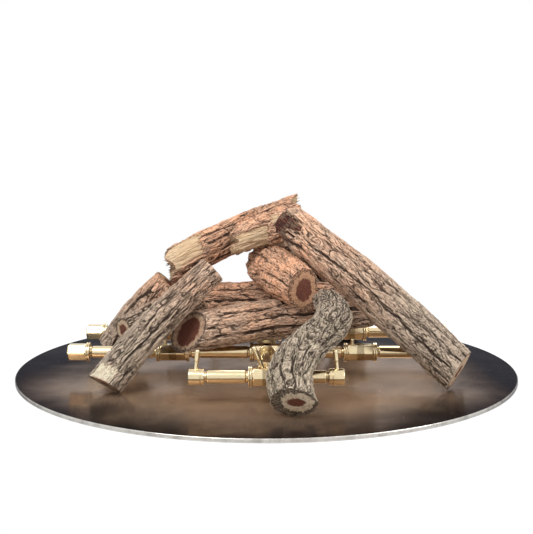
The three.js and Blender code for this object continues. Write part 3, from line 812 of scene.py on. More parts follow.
def cubic_along(rings, rows):
    """More rings between the given ones, on a cubic through each four neighbours."""
    place = np.linspace(0, len(rings) - 1, rows)
    base = np.minimum(place.astype(int), len(rings) - 2)
    t = (place - base)[:, None, None]
    first = 2 * rings[:1] - rings[1:2]
    last = 2 * rings[-1:] - rings[-2:-1]
    held = np.concatenate([first, rings, last])
    a, b, c, d = (held[base + i] for i in range(4))
    curve = 2 * b + (c - a) * t + (2 * a - 5 * b + 4 * c - d) * t ** 2
    return (curve + (3 * b - a - 3 * c + d) * t ** 3) / 2


def bark_relief(place, ridge, look, settings):
    """Height of the bark in mm over the smooth log. Furrows open where the CAD's own ridges are
    lowest and close where these are shallow. The plates between are split by the zero lines of
    a stretched noise and the borders of long cells, each plate is tilted a little, and the zero
    lines of a finer noise part its strands. Returns it with a mask that darkens the furrows,
    cracks and partings, partly as their own colour and partly as painted shade, and the pits as
    painted shade, and a tone for each plate."""
    seed = look.seed
    long_side, wide_side = look.plates
    bend = np.stack([noise(place / 24, seed + i) for i in (1, 2, 3)], -1)
    bent = place + bend * (6, 2.6, 2.6) + noise(place / 7, seed + 4)[..., None] * 0.8
    gap, tone, offset = cracked_cells(bent / (long_side, wide_side, wide_side), seed + 5)
    gap = gap * (1 + 0.5 * noise(place / 9, seed + 6))
    broken = smooth_step(noise(place / (34, 16, 16), seed + 8), -0.1, 0.3)
    border = (1 - smooth_step(gap, 0.0, 0.12)) * (0.1 + 0.9 * broken)
    winding = layered_noise(bent / (long_side * 1.5, wide_side, wide_side), 2, seed + 7)
    width = 0.07 + 0.06 * noise(place / (26, 11, 11), seed + 12)
    split = (1 - smooth_step(np.abs(winding), width * 0.3, width + 0.02)) * look.furrows
    ragged = ridge + 0.7 * layered_noise(place / (17, 4.6, 4.6), 2, seed + 11)
    present = smooth_step(noise(place / (46, 20, 20), seed + 13), -0.35, 0.15)
    valley = (1 - smooth_step(ragged, -1.7, -0.9)) * look.furrows * (0.12 + 0.88 * present)
    strand = layered_noise(bent / (42, 4.2, 4.2), 2, seed + 9)
    parting = 1 - smooth_step(np.abs(strand), 0.0, 0.26)
    crumbs = layered_noise(place / (15, 5.2, 5.2), 4, seed + 10)
    depth, crack = settings.furrow_depth / MM, settings.crack_depth / MM
    relief = np.minimum(0.95, ridge * 0.3 + 0.8) + (tone - 0.5) * 0.8 + offset[..., 0] * 1.2
    relief -= parting * settings.fibre_depth / MM - crumbs * look.crumble * 1.5
    relief = relief * (1 - valley) - (depth - 0.9) * valley
    relief -= crack * np.maximum(border, split) * (1 - valley * 0.6)
    # The mask darkens cracks, furrows and strand partings, partly as their own colour and partly as
    # painted shade.
    dark = np.maximum(border * 0.6, split * 0.75)
    # Painted shade in the low pits of the crumbled bark.
    pit_shade = smooth_step(-crumbs, 0.25, 1.0) * look.crumble
    dark = np.maximum(dark, valley * 0.95) + parting * 0.42 + pit_shade * 0.5
    dark = np.clip(dark, 0, 0.96)
    return np.minimum(relief, ridge + 1.8), dark, tone


def wandered(ridge, place, look):
    """The CAD's ridges carried sideways round the log by a slow and a quick noise along it, so
    that its straight furrows wind as bark's do. Places between columns are mixed linearly."""
    rows, columns = ridge.shape
    width = np.linalg.norm(np.diff(place, axis=1), axis=-1).sum(1)[:, None] / columns
    aside = noise(place / (60, 30, 30), look.seed + 14) * 4.5
    aside = (aside + noise(place / (20, 12, 12), look.seed + 15) * 3) / width
    column = np.arange(columns) + aside
    low = np.floor(column).astype(int)
    part = column - low
    row = np.arange(rows)[:, None]
    return ridge[row, low % columns] * (1 - part) + ridge[row, (low + 1) % columns] * part


def facing(outward, direction, half_width):
    """1 where the surface faces a direction, falling to 0 towards a half width in degrees."""
    aim = np.array(direction, float)
    aim /= np.linalg.norm(aim)
    edge = math.cos(math.radians(half_width))
    return smooth_step(outward @ aim, edge, edge + 0.12)


def log_body(rings, axes, look, settings, rows, columns):
    """Surface of the bark in mm: the CAD rings made finer and smooth, moved outwards by the
    relief. Where bark is missing the wood lies lower and is split into long splinters. Returns
    the points, the smooth surface below them and the values for each point."""
    base = cubic_along(waves_round(rings, columns), rows)
    smooth = cubic_along(waves_round(rings, columns, 5), rows)
    share_along = np.linspace(0, 1, rows)[:, None]
    outward = smooth - base.mean(1, keepdims=True)
    outward[..., 0] = 0
    outward /= np.linalg.norm(outward, axis=-1, keepdims=True)
    seen = outward @ axes
    place = base.astype(np.float32)
    ridge = wandered(((base - smooth) * outward).sum(-1), place, look)
    relief, furrow_and_shade, tone = bark_relief(place, ridge, look, settings)
    ragged = layered_noise(place / (14, 8, 8), 3, look.seed + 20)
    fine = layered_noise(place / (look.splinter, 2.2, 2.2), 3, look.seed + 21)
    coarse = layered_noise(place / (70, 8, 8), 2, look.seed + 22)
    bare = np.zeros_like(relief)
    char = np.zeros_like(relief)
    for start, end, direction, half_width, pale, deep, burnt in look.patches:
        along = share_along + ragged * 0.045 + fine * 0.03
        mask = smooth_step(along, start - 0.01, start + 0.01)
        mask *= 1 - smooth_step(along, end - 0.008, end + 0.008)
        turned = facing(seen + (ragged * 0.1 + coarse * 0.12)[..., None], direction, half_width)
        here = mask * turned
        wood = fine * (0.8 + 0.22 * deep) + coarse * (0.6 + 0.3 * deep) - deep
        cut_in = smooth_step(here, 0.1, 0.5)
        relief = relief * (1 - cut_in) + np.minimum(wood, 1.0) * cut_in
        furrow_and_shade = furrow_and_shade * (1 - cut_in)
        bare = np.maximum(bare, here * pale)
        char = np.maximum(char, cut_in * burnt)
    for spot, direction, radius, height in look.knots:
        aim = np.array(direction, float) / np.linalg.norm(direction)
        row = int(spot * (rows - 1))
        column = int(np.argmax(seen[row] @ aim))
        away = np.linalg.norm(base - base[row, column], axis=-1) + ragged * 1.5
        dome = np.exp(-(away / radius) ** 2)
        rings_round = np.cos(away / radius * 7) * np.exp(-(away / radius / 1.6) ** 2)
        relief += height * dome + rings_round * 0.8 - 3.2 * np.exp(-(away / radius * 3) ** 2)
        furrow_and_shade = np.maximum(furrow_and_shade, 0.85 * np.exp(-(away / radius * 2.6) ** 2))
    points = smooth + outward * relief[..., None]
    reach = max(1, round(2.4 * rows / np.ptp(place[:, 0, 0])))
    around = sum(np.roll(relief, step, axis) for step in (-reach, reach) for axis in (0, 1)) / 4
    values = {
        "relief": smooth_step(relief, -2.6, 1.9), "furrow_and_shade": furrow_and_shade,
        # The look's light lifts or lowers the tone towards each end: painted light and shade.
        "plate_tone": tone + look.light[0] * (1 - share_along) + look.light[1] * share_along,
        "bare": smooth_step(bare, 0.1, 0.5), "char": np.clip(char, 0, 1),
        # edge is how far a point stands above its neighbours: it drives a painted highlight on
        # raised edges and painted shade in hollows.
        "edge": np.clip((relief - around) / 0.95, -1, 1),
    }
    return points, smooth, values


def end_disc(rim, base_rim, centre, look, end, rows, settings):
    """One end of a log, from its rim to its middle: each point lies on the line from the rim to
    the end's centre. A sawn end has a bark ring, growth rings, heartwood and drying cracks. A
    torn end has splinters, which are tall where a fine noise across the grain is high. Returns
    the points and the values for each."""
    share_in = np.linspace(1, 0.03, rows) ** 1.15
    share_in = np.concatenate([[0.985], share_in[share_in < 0.97]])
    points = centre + (rim - centre) * share_in[:, None, None]
    flat = centre + (base_rim - centre) * share_in[:, None, None]
    radius = np.linalg.norm(base_rim - centre, axis=-1)[None]
    distance = radius * share_in[:, None]
    angle = np.arctan2(flat[..., 2] - centre[2], flat[..., 1] - centre[1])
    place = flat.astype(np.float32)
    seed = look.seed + (50 if end == 0 else 60)
    circle = np.stack([np.cos(angle), np.sin(angle), np.zeros_like(angle)], -1)
    stretch, aside, above = look.heart_form
    lean = 1 - 5 * (circle[..., 0] * aside + circle[..., 1] * above)
    rind = settings.bark_thickness / MM * look.rind * lean
    rough = layered_noise(place / (4, 3, 3), 3, seed + 1)
    bark_edge = radius - rind * (1 + 0.4 * noise(place / 8, seed) + 0.25 * rough)
    bare = 1 - smooth_step(distance, bark_edge - 0.6, bark_edge + 0.6)
    kind = look.ends[end]
    jag = layered_noise(circle * 3.2 + seed, 3, seed + 2)
    apart = np.hypot((share_in[:, None] * circle[..., 0] - aside) * stretch,
                     (share_in[:, None] * circle[..., 1] - above) / stretch)
    heart_edge = look.heart * (1 + look.star * 3 * jag)
    heart = 1 - smooth_step(apart, heart_edge - 0.035, heart_edge + 0.035)
    growth = np.cos(distance * 3.4 + 1.5 * noise(place / 12, seed + 3))
    crack = noise(circle * 2.1 + 9.3, seed + 4)
    check = 1 - smooth_step(np.abs(crack), 0.0, 0.03)
    reach = smooth_step(distance / radius, 0.05, 0.3)
    reach *= 1 - smooth_step(distance / radius, 0.6, 0.85)
    check = check * reach * 0.8
    char = np.zeros_like(distance)
    sawn = np.full_like(distance, look.sawn)
    pitted = smooth_step(rough, 0.15, 0.75) * (0.2 + 0.45 * look.crumble)
    check = np.maximum(check, pitted * (1 - 0.6 * heart))
    furrow_and_shade = (1 - bare) * np.clip(0.5 + rough * 0.8, 0, 0.95)
    if kind in ("sawn", "dark"):
        out = growth * 0.12 - rough * (0.25 + 0.6 * look.crumble) - heart * 0.3
        # A dark end is a sawn end darkened as painted shade, for an end that lies in shadow.
        if kind == "dark":
            bare = bare * 0.4
            furrow_and_shade = np.full_like(bare, 0.6) + rough * 0.3
        out -= (1 - bare) * (0.6 - 0.8 * rough)
    else:
        thin = layered_noise(place * np.float32((0, 1, 1)) / 3.4, 2, seed + 5)
        broad = layered_noise(place * np.float32((0, 1, 1)) / 13, 2, seed + 6)
        splinter = np.clip(thin, 0, 1) ** 1.3 * 13 + broad * 7
        inside = smooth_step(distance / radius, 1.0, 0.86)
        out = splinter * inside - 3 * inside
        check = np.clip(-thin * 1.2, 0, 1) * inside
        bare = np.maximum(bare, 0.8 * inside)
        heart = heart * 0.55
        sawn = sawn * 0.3
        if kind == "charred":
            char = inside * 0.5 + 0.5 * smooth_step(distance / radius, 1.0, 0.95)
            out *= 0.6
    outwards = np.array([-1 if end == 0 else 1, 0, 0])
    points = points + outwards * (out * smooth_step(share_in, 1.0, 0.95)[:, None])[..., None]
    values = {
        "relief": np.full_like(distance, 0.5) + rough * 0.3, "furrow_and_shade": furrow_and_shade, "bare": bare,
        "heart": heart, "plate_tone": 0.5 + growth * 0.15,
        "check": check, "char": char, "sawn": sawn,
    }
    return points, values


VALUES = {
    "relief": 0.5, "furrow_and_shade": 0, "plate_tone": 0.5, "bare": 0, "heart": 0, "check": 0, "char": 0,
    "edge": 0, "sawn": 0,
}


def build_log(name, look, settings, material):
    """One log: a disc, the bark and another disc in one closed tube of points. What a part has
    no value for gets a plain one."""
    rings, origin, axes = log_rings(name)
    long = np.linalg.norm(rings[-1].mean(0) - rings[0].mean(0))
    round_way = np.linalg.norm(np.diff(rings, axis=1), axis=-1).sum(1).max()
    step = settings.mesh_step / MM
    detail = 1.0
    columns = int(round_way / (step * 0.72) / detail) // 2 * 2
    disc_rows = int(26 / detail)
    most = MOST_TRIANGLES // (2 * columns) - 2 * disc_rows
    rows = min(int(long / step / detail), most)
    points, base, values = log_body(rings, axes, look, settings, rows, columns)
    centres = [np.zeros(3), np.array([rings[-1][:, 0].mean(), 0, 0])]
    low, low_values = end_disc(points[0], base[0], centres[0], look, 0, disc_rows, settings)
    high, high_values = end_disc(points[-1], base[-1], centres[1], look, 1, disc_rows, settings)
    parts = [low[::-1], points, high]
    part_values = [{k: v[::-1] for k, v in low_values.items()}, values, high_values]
    every = np.concatenate(parts)
    poles = np.array([[low[-1, :, 0].mean(), 0, 0], [high[-1, :, 0].mean(), 0, 0]])
    straight = np.concatenate([every.reshape(-1, 3), poles])
    placed = (straight @ axes + origin) * MM
    stored_values = {"grain_place": straight * MM}
    for value_name, plain in VALUES.items():
        grids = [given.get(value_name, np.full(part.shape[:2], plain))
                 for part, given in zip(parts, part_values)]
        value = np.concatenate([grid.reshape(-1) for grid in grids])
        stored_values[value_name] = np.concatenate([value, [value[0], value[-1]]])
    # Painted flame light, strongest near the middle of the pile: it reddens the bark and takes out
    # its grey.
    centre_distance = np.linalg.norm((placed - (0.0, 0.0, 0.2)) * (1, 1, 1.2), axis=-1)
    fire = 1 - smooth_step(centre_distance, 0.12, 0.34)
    drift = layered_noise(placed * 22, 2, look.seed + 30)
    stored_values["flame_glow"] = np.clip(
        look.flame_glow * (0.15 + 1.1 * fire) + drift * 0.25 * fire, 0, 1)
    stored_values["moss"] = np.clip(look.moss * (1.15 - 0.7 * fire) + drift * 0.2, 0, 1)
    shells = Shells()
    shells.add(placed, tube_faces(len(every), columns, 0), **stored_values)
    mesh = shells.mesh(name + "_bark", material)
    return show_piece(name + "_bark", mesh, look.body, [name])


# The stage

def seen_directly(tree):
    """1 where the camera sees a surface, also in a mirror or through glass."""
    paths = tree.nodes.new("ShaderNodeLightPath")
    seen = maths("MAXIMUM", paths.outputs["Is Camera Ray"], paths.outputs["Is Glossy Ray"])
    return maths("MAXIMUM", seen, paths.outputs["Is Transmission Ray"])


def blended(factor, first, second):
    """Two shaders mixed by a socket's value."""
    blend = factor.id_data.nodes.new("ShaderNodeMixShader")
    for socket, value in zip(blend.inputs, (factor, first, second)):
        put(socket, value)
    return blend.outputs[0]


class GASLOG_OT_stage(bpy.types.Operator):
    """Camera at the photograph's angle, pale floor and backdrop, and soft lamps"""
    bl_idname = "gaslog.stage"
    bl_label = "Stage"

    def execute(self, context):
        settings = context.scene.gaslog_stage
        self.make_camera(context, settings)
        self.make_floor(context, settings)
        self.make_sky(context, settings)
        self.make_lamps(context, settings)
        context.scene.view_settings.view_transform = "Standard"
        return {"FINISHED"}

    def make_camera(self, context, settings):
        """Camera whose focal length in mm is its length in pixels over the longer side."""
        camera = bpy.data.cameras.new("camera")
        camera.sensor_width = 36
        camera.lens = settings.focal_pixels / max(IMAGE_SIZE) * camera.sensor_width
        camera.clip_start = 0.01
        holder = bpy.data.objects.new("camera", camera)
        holder.location = settings.camera_place
        holder.rotation_euler = (math.pi / 2 - settings.camera_tilt, 0, 0)
        context.scene.collection.objects.link(holder)
        context.scene.camera = holder

    def make_floor(self, context, settings):
        """A flat floor whose rings widen outwards by a square law, fading to pure white."""
        rings, columns, reach, level = 40, 96, 9, -0.0004
        out = np.linspace(0.02, 1, rings)[:, None] ** 2 * reach
        turn = np.arange(columns)[None] * TURN / columns
        points = np.stack([out * np.cos(turn), out * np.sin(turn), 0 * out * turn + level], -1)
        quads, fans = tube_faces(rings, columns, 0)
        shells = Shells()
        shells.add(np.concatenate([points.reshape(-1, 3), [[0, 0, level]]]),
                   (quads[:, ::-1], fans[:columns, ::-1]))
        material, tree, shader = new_material("pale floor")
        place = tree.nodes.new("ShaderNodeTexCoord").outputs["Object"]
        mottle = noise_value(place, 2.5, 3.0)
        put(shader.inputs["Base Color"], mixed(
            mottle, tint(settings.backdrop, 0.985), settings.backdrop))
        shader.inputs["Roughness"].default_value = 0.9
        shader.inputs["Specular IOR Level"].default_value = 0.1
        distance = vector_maths("LENGTH", place, output="Value")
        far = between(distance, 0.45, 0.9, 0.6, 1.0)
        glow = add_node(tree, "ShaderNodeEmission", Color=(1, 1, 1, 1), Strength=1.0)
        output = next(n for n in tree.nodes if n.type == "OUTPUT_MATERIAL")
        white = times(seen_directly(tree), far)
        put(output.inputs[0], blended(white, shader.outputs[0], glow.outputs[0]))
        floor = bpy.data.objects.new("floor", shells.mesh("floor", material))
        context.scene.collection.objects.link(floor)

    def make_sky(self, context, settings):
        """An even sky that shows as white behind the object."""
        world = bpy.data.worlds.new("sky")
        context.scene.world = world
        world.use_nodes = True
        tree = world.node_tree
        tree.nodes.clear()
        even = add_node(tree, "ShaderNodeBackground", Color=(1, 1, 1, 1), Strength=settings.sky)
        white = add_node(tree, "ShaderNodeBackground", Color=(1, 1, 1, 1), Strength=1.0)
        output = tree.nodes.new("ShaderNodeOutputWorld")
        put(output.inputs[0], blended(seen_directly(tree), even.outputs[0], white.outputs[0]))

    def make_lamps(self, context, settings):
        """A large key lamp at the upper left of the front, a fill lamp at the right and a third
        behind, all aimed at the middle of the pile."""
        lamps = (
            ("key", (-1.1, -1.5, 2.0), 1.5, settings.key_power),
            ("fill", (1.7, -1.0, 1.2), 1.2, settings.fill_power),
            ("back", (0.4, 1.8, 1.8), 1.4, settings.fill_power * 1.2),
        )
        for name, place, size, power in lamps:
            lamp = bpy.data.lights.new(name, "AREA")
            lamp.shape = "DISK"
            lamp.size = size
            lamp.energy = power
            holder = bpy.data.objects.new(name, lamp)
            holder.location = place
            aim = Vector((0, 0, 0.12)) - holder.location
            holder.rotation_euler = aim.to_track_quat("-Z", "Y").to_euler()
            context.scene.collection.objects.link(holder)


# Plate and burner

class GASLOG_OT_plate(bpy.types.Operator):
    """Round plate of rolled steel with a worn bare rim and slight waves from rolling"""
    bl_idname = "gaslog.plate"
    bl_label = "Plate"

    def execute(self, context):
        settings = context.scene.gaslog_plate
        low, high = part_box("base_plate")
        radius, thick = (high.x - low.x) / 2 / MM, high.z / MM
        hole = size_of("inlet_coupling")[1] / 2 + 0.3
        corners = [(0, radius * 0.5), (0, radius), (thick, radius), (thick, hole), (0, hole),
                   (0, radius * 0.5)]
        line, wear = rounded_profile(corners, settings.rim_round / MM)
        line, wear = finer_between(line, wear, thick - 0.001, thick + 0.001, 9)
        wear = np.clip(wear, 0, 1) * (line[:, 1] > radius - 9)
        wear = np.maximum(wear, 0.75 * ((line[:, 1] > radius - 0.1) & (line[:, 0] > 0.5)))

        columns = 400
        turn = np.arange(columns) * TURN / columns
        angles, height = np.meshgrid(turn, line[:-1, 0])
        out = np.broadcast_to(line[:-1, 1:], angles.shape)
        points = np.stack([out * np.cos(angles), out * np.sin(angles), height], -1)
        wave = layered_noise(points / (130, 90, 90), 2, 3) - 1
        top = (height > thick - 0.01) & (out < radius - 3)
        points[..., 2] += np.where(top, wave * settings.unevenness / MM, 0)
        shells = Shells()
        shells.add(points * MM, ring_faces(*angles.shape, 0),
                   wear=np.broadcast_to(wear[:-1, None], angles.shape).ravel())
        mesh = shells.mesh("plate_steel", steel_material(settings))
        show_piece("plate_steel", mesh, "burner", ["base_plate"])
        return {"FINISHED"}


def thread(settings, angles, along):
    """Depth in mm of a thread's groove: it follows a cosine of the turns made along it less the
    turn round it."""
    turns = TURN * along / (settings.thread_pitch / MM)
    return settings.thread_depth / MM * (0.5 - 0.5 * np.cos(turns - angles))


class GASLOG_OT_inlet(bpy.types.Operator):
    """Threaded inlet coupling welded into the plate, and the riser nipple above it"""
    bl_idname = "gaslog.inlet"
    bl_label = "Inlet"

    def execute(self, context):
        settings = context.scene.gaslog_brass
        low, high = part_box("inlet_coupling")
        radius, top = (high.y - low.y) / 2 / MM, high.z / MM
        bore = radius - 5.2
        raised = settings.thread_depth / MM * 0.4

        def threaded(angles, along, out):
            return out + (out < bore + 0.6) * (raised - 2 * thread(settings, angles, along))

        corners = [(2, radius), (top, radius), (top, bore), (0, bore), (0, radius), (2, radius)]
        profile = rounded_profile(corners, settings.edge_round / MM * 1.6)
        line, wear = finer_between(*profile, -0.1, top + 0.1, 0.3)
        shells = Shells()
        add_turned(shells, (line[:-1], wear[:-1]), (0, 0, 0), (0, 0, 1), 72, threaded, ring=True)
        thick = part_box("base_plate")[1].z / MM
        bead_turn = np.linspace(0, TURN, 13)[:-1]
        swell = radius + 0.9 + 2.1 * np.cos(bead_turn)
        bead = np.stack([thick + 0.4 - 1.9 * np.sin(bead_turn), swell], -1)

        def rippled(angles, along, out):
            ripple = 0.35 * np.cos(angles * 26 + 3 * np.sin(angles * 3))
            return out + ripple * (out > radius + 1)

        add_turned(shells, (bead, np.full(12, -0.35)), (0, 0, 0), (0, 0, 1), 200, rippled,
                   ring=True)
        show_brass(shells, settings, "inlet_coupling", "inlet_brass")

        low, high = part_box("riser_nipple")
        neck, base, tip = (high.y - low.y) / 2 / MM, low.z / MM, high.z / MM
        corners = [(base, 0.5), (base, neck), (tip, neck), (tip, 0.5)]
        profile = finer_between(*rounded_profile(corners, 0.8), top - 1.5, top + 7, 0.2)

        def cut(angles, along, out):
            return out - (out > neck - 0.5) * thread(settings, angles, along)

        shells = Shells()
        add_turned(shells, profile, (0, 0, 0), (0, 0, 1), 64, cut)
        show_brass(shells, settings, "riser_nipple", "riser_brass")
        return {"FINISHED"}


class GASLOG_OT_nipples(bpy.types.Operator):
    """Brass nipples between the fittings, each with a threaded neck at both ends"""
    bl_idname = "gaslog.nipples"
    bl_label = "Nipples"

    def execute(self, context):
        settings = context.scene.gaslog_brass
        for name in sorted(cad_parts):
            if "nipple" not in name or name == "riser_nipple":
                continue
            sides = size_of(name)
            way = int(np.argmax(sides))
            pipe, end = sides[2] / 2, sides[way] / 2
            neck, shoulder = pipe - 1.15, end - 15
            half = [(end, 4), (end, neck), (shoulder, neck), (shoulder - 1.1, pipe)]
            corners = [(-along, out) for along, out in half] + half[::-1]
            profile = rounded_profile(corners, settings.edge_round / MM)
            profile = finer_between(*profile, -shoulder - 6, -shoulder, 0.22)
            profile = finer_between(*profile, shoulder, shoulder + 6, 0.22)

            def threaded(angles, along, out):
                on_neck = smooth_step(np.abs(along), shoulder + 0.3, shoulder + 0.8)
                return out - on_neck * (out > neck - 0.4) * thread(settings, angles, along)

            shells = Shells()
            add_turned(shells, profile, centre_of(name), np.eye(3)[way], 72, threaded)
            show_brass(shells, settings, name)
        return {"FINISHED"}


def collar(settings, flange, flat):
    """Corners of a hexagonal fitting's mouth in mm, as pairs of depth from the mouth and distance
    out: the socket, two rings with a groove between them, and a groove before the body."""
    ring, wide = settings.ring_width / MM, settings.collar_width / MM
    sunk = flange - settings.collar_groove / MM
    bore, groove = flat - 3.6, flat - 0.9
    return [(5, 0.5), (5, bore), (0, bore), (0, flange), (ring, flange), (ring, sunk),
            (wide - ring, sunk), (wide - ring, flange), (wide, flange), (wide, groove),
            (wide + 0.7, groove), (wide + 0.9, flat)]


def hexed(settings, flat, mouth, start, chamfer):
    """Shape of a fitting: hexagonal along its body, with the hexagon's corners cut by a cone near
    the collar, and round at the collar itself."""
    def shape(angles, along, out):
        deep = np.abs(mouth - along) - settings.collar_width / MM
        body = (deep > start) & (out > flat - chamfer)
        cone = flat + 0.4 + (deep - 0.9) * 0.7
        six = np.minimum(hexagon(angles - TURN / 12, flat), np.maximum(cone, flat))
        return np.where(body, six * out / flat, out)
    return shape


def add_cup(shells, centre, radius, height, ribs):
    """A small upright ribbed cup: its radius swells and shrinks with a cosine round it."""
    neck, bore = radius * 0.86, radius * 0.55
    corners = [(0, 0.3), (0, radius), (height * 0.28, radius), (height * 0.34, neck),
               (height, neck), (height, bore), (height * 0.5, bore), (height * 0.5, 0.3)]

    def ribbed(angles, along, out):
        upper = (along > height * 0.3) & (out > radius * 0.7)
        return out + upper * 0.28 * np.cos(angles * ribs)

    add_turned(shells, rounded_profile(corners, 0.3), centre, (0, 0, 1), 96, ribbed)


class GASLOG_OT_fittings(bpy.types.Operator):
    """Hexagonal brass tees and crosses with double collars at their ports"""
    bl_idname = "gaslog.fittings"
    bl_label = "Fittings"

    def execute(self, context):
        settings = context.scene.gaslog_brass
        flat = settings.hex_flat / MM
        axis = centre_of("row_nipple_inner_front_left")[2]
        run, _, flange = size_of("cross_front") / 2
        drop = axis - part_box("centre_tee")[0].z / MM
        right, left, back, front, down = (1, 0, 0), (-1, 0, 0), (0, 1, 0), (0, -1, 0), (0, 0, -1)
        ports = {
            "centre_tee": (back, front, down),
            "cross_front": (right, left, back, front),
            "end_tee_front": (right, left, back),
            "end_tee_rear": (right, left, front),
            "cross_rear": (right, left, back, front),
        }
        ports.update({"mid_tee_" + side: (right, left) for side in SIDES})
        for name, directions in ports.items():
            centre = centre_of(name)
            centre[2] = axis
            if name.startswith("end_tee"):
                inward = directions[2][1]
                centre[1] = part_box(name)[int(inward > 0)].y / MM - inward * run
            shells = Shells()
            for direction in directions:
                reach = drop if direction == down else run
                corners = [(-flat / 2, 0.5), (-flat / 2, flat)]
                corners += [(reach - deep, out) for deep, out in collar(
                    settings, flange, flat)[::-1]]
                profile = rounded_profile(corners, settings.edge_round / MM)
                profile = finer_between(*profile, reach - 12, reach - 6.8, 0.35)
                add_turned(shells, profile, centre, direction, 96,
                           hexed(settings, flat, reach, 0.75, 0.6))
            if name.startswith("end_tee"):
                lean = 1 if name.endswith("front") else -1
                add_cup(shells, centre + np.array([lean * 2.6, 0, flat - 0.4]), 3.6, 8.5, 12)
            show_brass(shells, settings, name)
        return {"FINISHED"}


class GASLOG_OT_caps(bpy.types.Operator):
    """Hexagonal caps on the middle rows and round caps on the end rows"""
    bl_idname = "gaslog.caps"
    bl_label = "Caps"

    def execute(self, context):
        settings = context.scene.gaslog_brass
        soft, flat = settings.edge_round / MM, settings.hex_flat / MM
        radius = settings.cap_radius / MM
        for side in SIDES:
            hand = 1 if side.endswith("right") else -1
            name = "hex_cap_" + side
            long, _, wide = size_of(name)
            mouth = centre_of(name) - np.array([hand * long / 2, 0, 0])
            corners = collar(settings, wide / 2, flat) + [
                (long - 2.4, flat), (long, flat - 2.6), (long, 0.5)]
            profile = finer_between(*rounded_profile(corners, soft), 6.8, 12, 0.35)
            shells = Shells()
            add_turned(shells, profile, mouth, (hand, 0, 0), 96, hexed(settings, flat, 0, 0.8, 3))
            show_brass(shells, settings, name)

            name = "round_cap_" + side
            long = size_of(name)[0]
            mouth = centre_of("end_nipple_" + side)
            mouth[0] = centre_of(name)[0] - hand * long / 2
            bore, sunk = 10.2, radius - 0.6
            corners = [(5, 0.5), (5, bore), (0, bore), (0, sunk), (0.9, radius),
                       (5.2, radius), (5.5, sunk), (6.1, sunk), (6.4, radius),
                       (long - 1.3, radius), (long, radius - 1.3), (long, 0.5)]
            shells = Shells()
            add_turned(shells, rounded_profile(corners, soft), mouth, (hand, 0, 0), 96)
            show_brass(shells, settings, name)
        return {"FINISHED"}


class GASLOG_OT_jets(bpy.types.Operator):
    """Tall jets with an air hole in a slimmer neck, and short stub jets"""
    bl_idname = "gaslog.jets"
    bl_label = "Jets"

    def execute(self, context):
        settings = context.scene.gaslog_brass
        for name in sorted(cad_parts):
            if name.startswith(("jet_cap", "jet_tee")):
                self.make_tall(name, settings)
            elif name.startswith(("jet_mid", "jet_centre")):
                self.make_short(name, settings)
        return {"FINISHED"}

    def axis_of(self, name):
        """Where a jet leaves its hole, its direction and its length from there, in mm, from the
        middles of its two end rims."""
        spots = np.unique(np.round(points_of(name) / MM, 3), axis=0)
        middle = spots.mean(0)
        axis = np.linalg.svd(spots - middle)[2][0]
        axis *= np.sign(axis[2])
        along = (spots - middle) @ axis
        foot = spots[along < along.min() + 0.2].mean(0)
        tip = spots[along > along.max() - 0.2].mean(0)
        long = np.linalg.norm(tip - foot)
        axis = (tip - foot) / long
        return foot + axis * JET_IN_HOLE, axis, long - JET_IN_HOLE

    def shade_holes(self, shells, base, axis, holes):
        """Darkens the inside of holes with painted shade, by marking them as deep grooves that take
        the tarnish colour. Each hole reaches from and to a place along the axis, out to a radius,
        in mm."""
        points = shells.points[0] / MM - base
        along = points @ axis
        distance = np.linalg.norm(points - along[:, None] * axis, axis=1)
        wear = np.clip(shells.values["wear"][0], -0.3, 1)
        for low, high, radius in holes:
            wear[(distance < radius) & (along > low) & (along < high)] = -1
        shells.values["wear"] = [wear]

    def make_tall(self, name, settings):
        """The jet's profile turned about its axis, pushed in round the air hole by a cosine
        well."""
        base, axis, top = self.axis_of(name)
        neck, body, bore, neck_top = 3.2, 4, 1.9, top * 0.42
        hole = neck_top - 2
        corners = [(-1.5, 0.4), (-1.5, neck), (neck_top, neck), (neck_top + 0.8, body),
                   (top * 0.86, body), (top - 1, body - 0.3), (top, bore + 1), (top, bore),
                   (top - 5, bore - 0.2), (top - 5, 0.3)]
        profile = finer_between(*rounded_profile(corners, 0.35), neck_top - 5, neck_top, 0.22)

        def holed(angles, along, out):
            push = np.zeros_like(out)
            for face in (TURN / 4, 3 * TURN / 4):
                across = ((angles - face + TURN / 2) % TURN - TURN / 2) * 3.2
                away = np.hypot(across, along - hole)
                push = np.maximum(push, 1 - smooth_step(away, 0.75, 1.15))
            return out - push * (out > neck - 0.3) * 1.5

        shells = Shells()
        add_turned(shells, profile, base, axis, 72, holed)
        # The air holes and the bore are darkened with painted shade.
        self.shade_holes(shells, base, axis, [(hole - 1.4, hole + 1.4, 2.6), (neck_top, top + 1, 2.2)])
        show_brass(shells, settings, name)

    def make_short(self, name, settings):
        """A short nozzle whose bore is darkened with painted shade."""
        base, axis, top = self.axis_of(name)
        body, bore = 3.1, 1.6
        corners = [(-1.5, 0.4), (-1.5, body), (top - 1.2, body), (top, body - 0.9), (top, bore),
                   (top - 4, bore - 0.2), (top - 4, 0.3)]
        shells = Shells()
        add_turned(shells, rounded_profile(corners, 0.35), base, axis, 48)
        self.shade_holes(shells, base, axis, [(2, top + 1, 1.9)])
        show_brass(shells, settings, name)


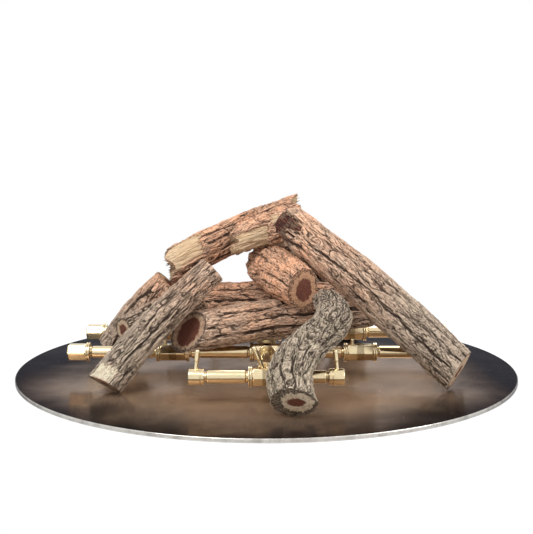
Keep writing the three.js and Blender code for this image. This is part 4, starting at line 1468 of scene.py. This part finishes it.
class GASLOG_OT_logs(bpy.types.Operator):
    """The eleven moulded logs with their bark, saw cuts, torn ends and bare patches"""
    bl_idname = "gaslog.logs"
    bl_label = "Logs"

    def execute(self, context):
        settings = context.scene.gaslog_logs
        material = bark_material(settings)
        for name, look in LOOKS.items():
            build_log(name, look, settings, material)
        return {"FINISHED"}


class GASLOG_PT_panel(bpy.types.Panel):
    """Buttons for the stage and each group of pieces"""
    bl_idname = "GASLOG_PT_panel"
    bl_label = "Gas Log Set"
    bl_space_type = "VIEW_3D"
    bl_region_type = "UI"
    bl_category = "Gas Log Set"

    def draw(self, context):
        for operator in OPERATORS:
            self.layout.operator(operator.bl_idname)
        for holder in SETTINGS:
            box = self.layout.box()
            group = getattr(context.scene, holder)
            for name in group.bl_rna.properties.keys():
                if name not in ("rna_type", "name"):
                    box.prop(group, name)


OPERATORS = (
    GASLOG_OT_stage,
    GASLOG_OT_plate,
    GASLOG_OT_inlet,
    GASLOG_OT_nipples,
    GASLOG_OT_fittings,
    GASLOG_OT_caps,
    GASLOG_OT_jets,
    GASLOG_OT_logs,
)
SETTINGS = {
    "gaslog_plate": PlateSettings,
    "gaslog_brass": BrassSettings,
    "gaslog_logs": LogSettings,
    "gaslog_stage": StageSettings,
}


def register():
    for group in SETTINGS.values():
        bpy.utils.register_class(group)
    for operator in OPERATORS:
        bpy.utils.register_class(operator)
    bpy.utils.register_class(GASLOG_PT_panel)
    for holder, group in SETTINGS.items():
        setattr(bpy.types.Scene, holder, bpy.props.PointerProperty(type=group))


def unregister():
    for holder in SETTINGS:
        delattr(bpy.types.Scene, holder)
    bpy.utils.unregister_class(GASLOG_PT_panel)
    for operator in reversed(OPERATORS):
        bpy.utils.unregister_class(operator)
    for group in SETTINGS.values():
        bpy.utils.unregister_class(group)


def main():
    """Builds the stage and then every piece."""
    register()
    bpy.ops.gaslog.stage()
    bpy.ops.gaslog.plate()
    bpy.ops.gaslog.inlet()
    bpy.ops.gaslog.nipples()
    bpy.ops.gaslog.fittings()
    bpy.ops.gaslog.caps()
    bpy.ops.gaslog.jets()
    bpy.ops.gaslog.logs()


if __name__ == "__main__":
    main()
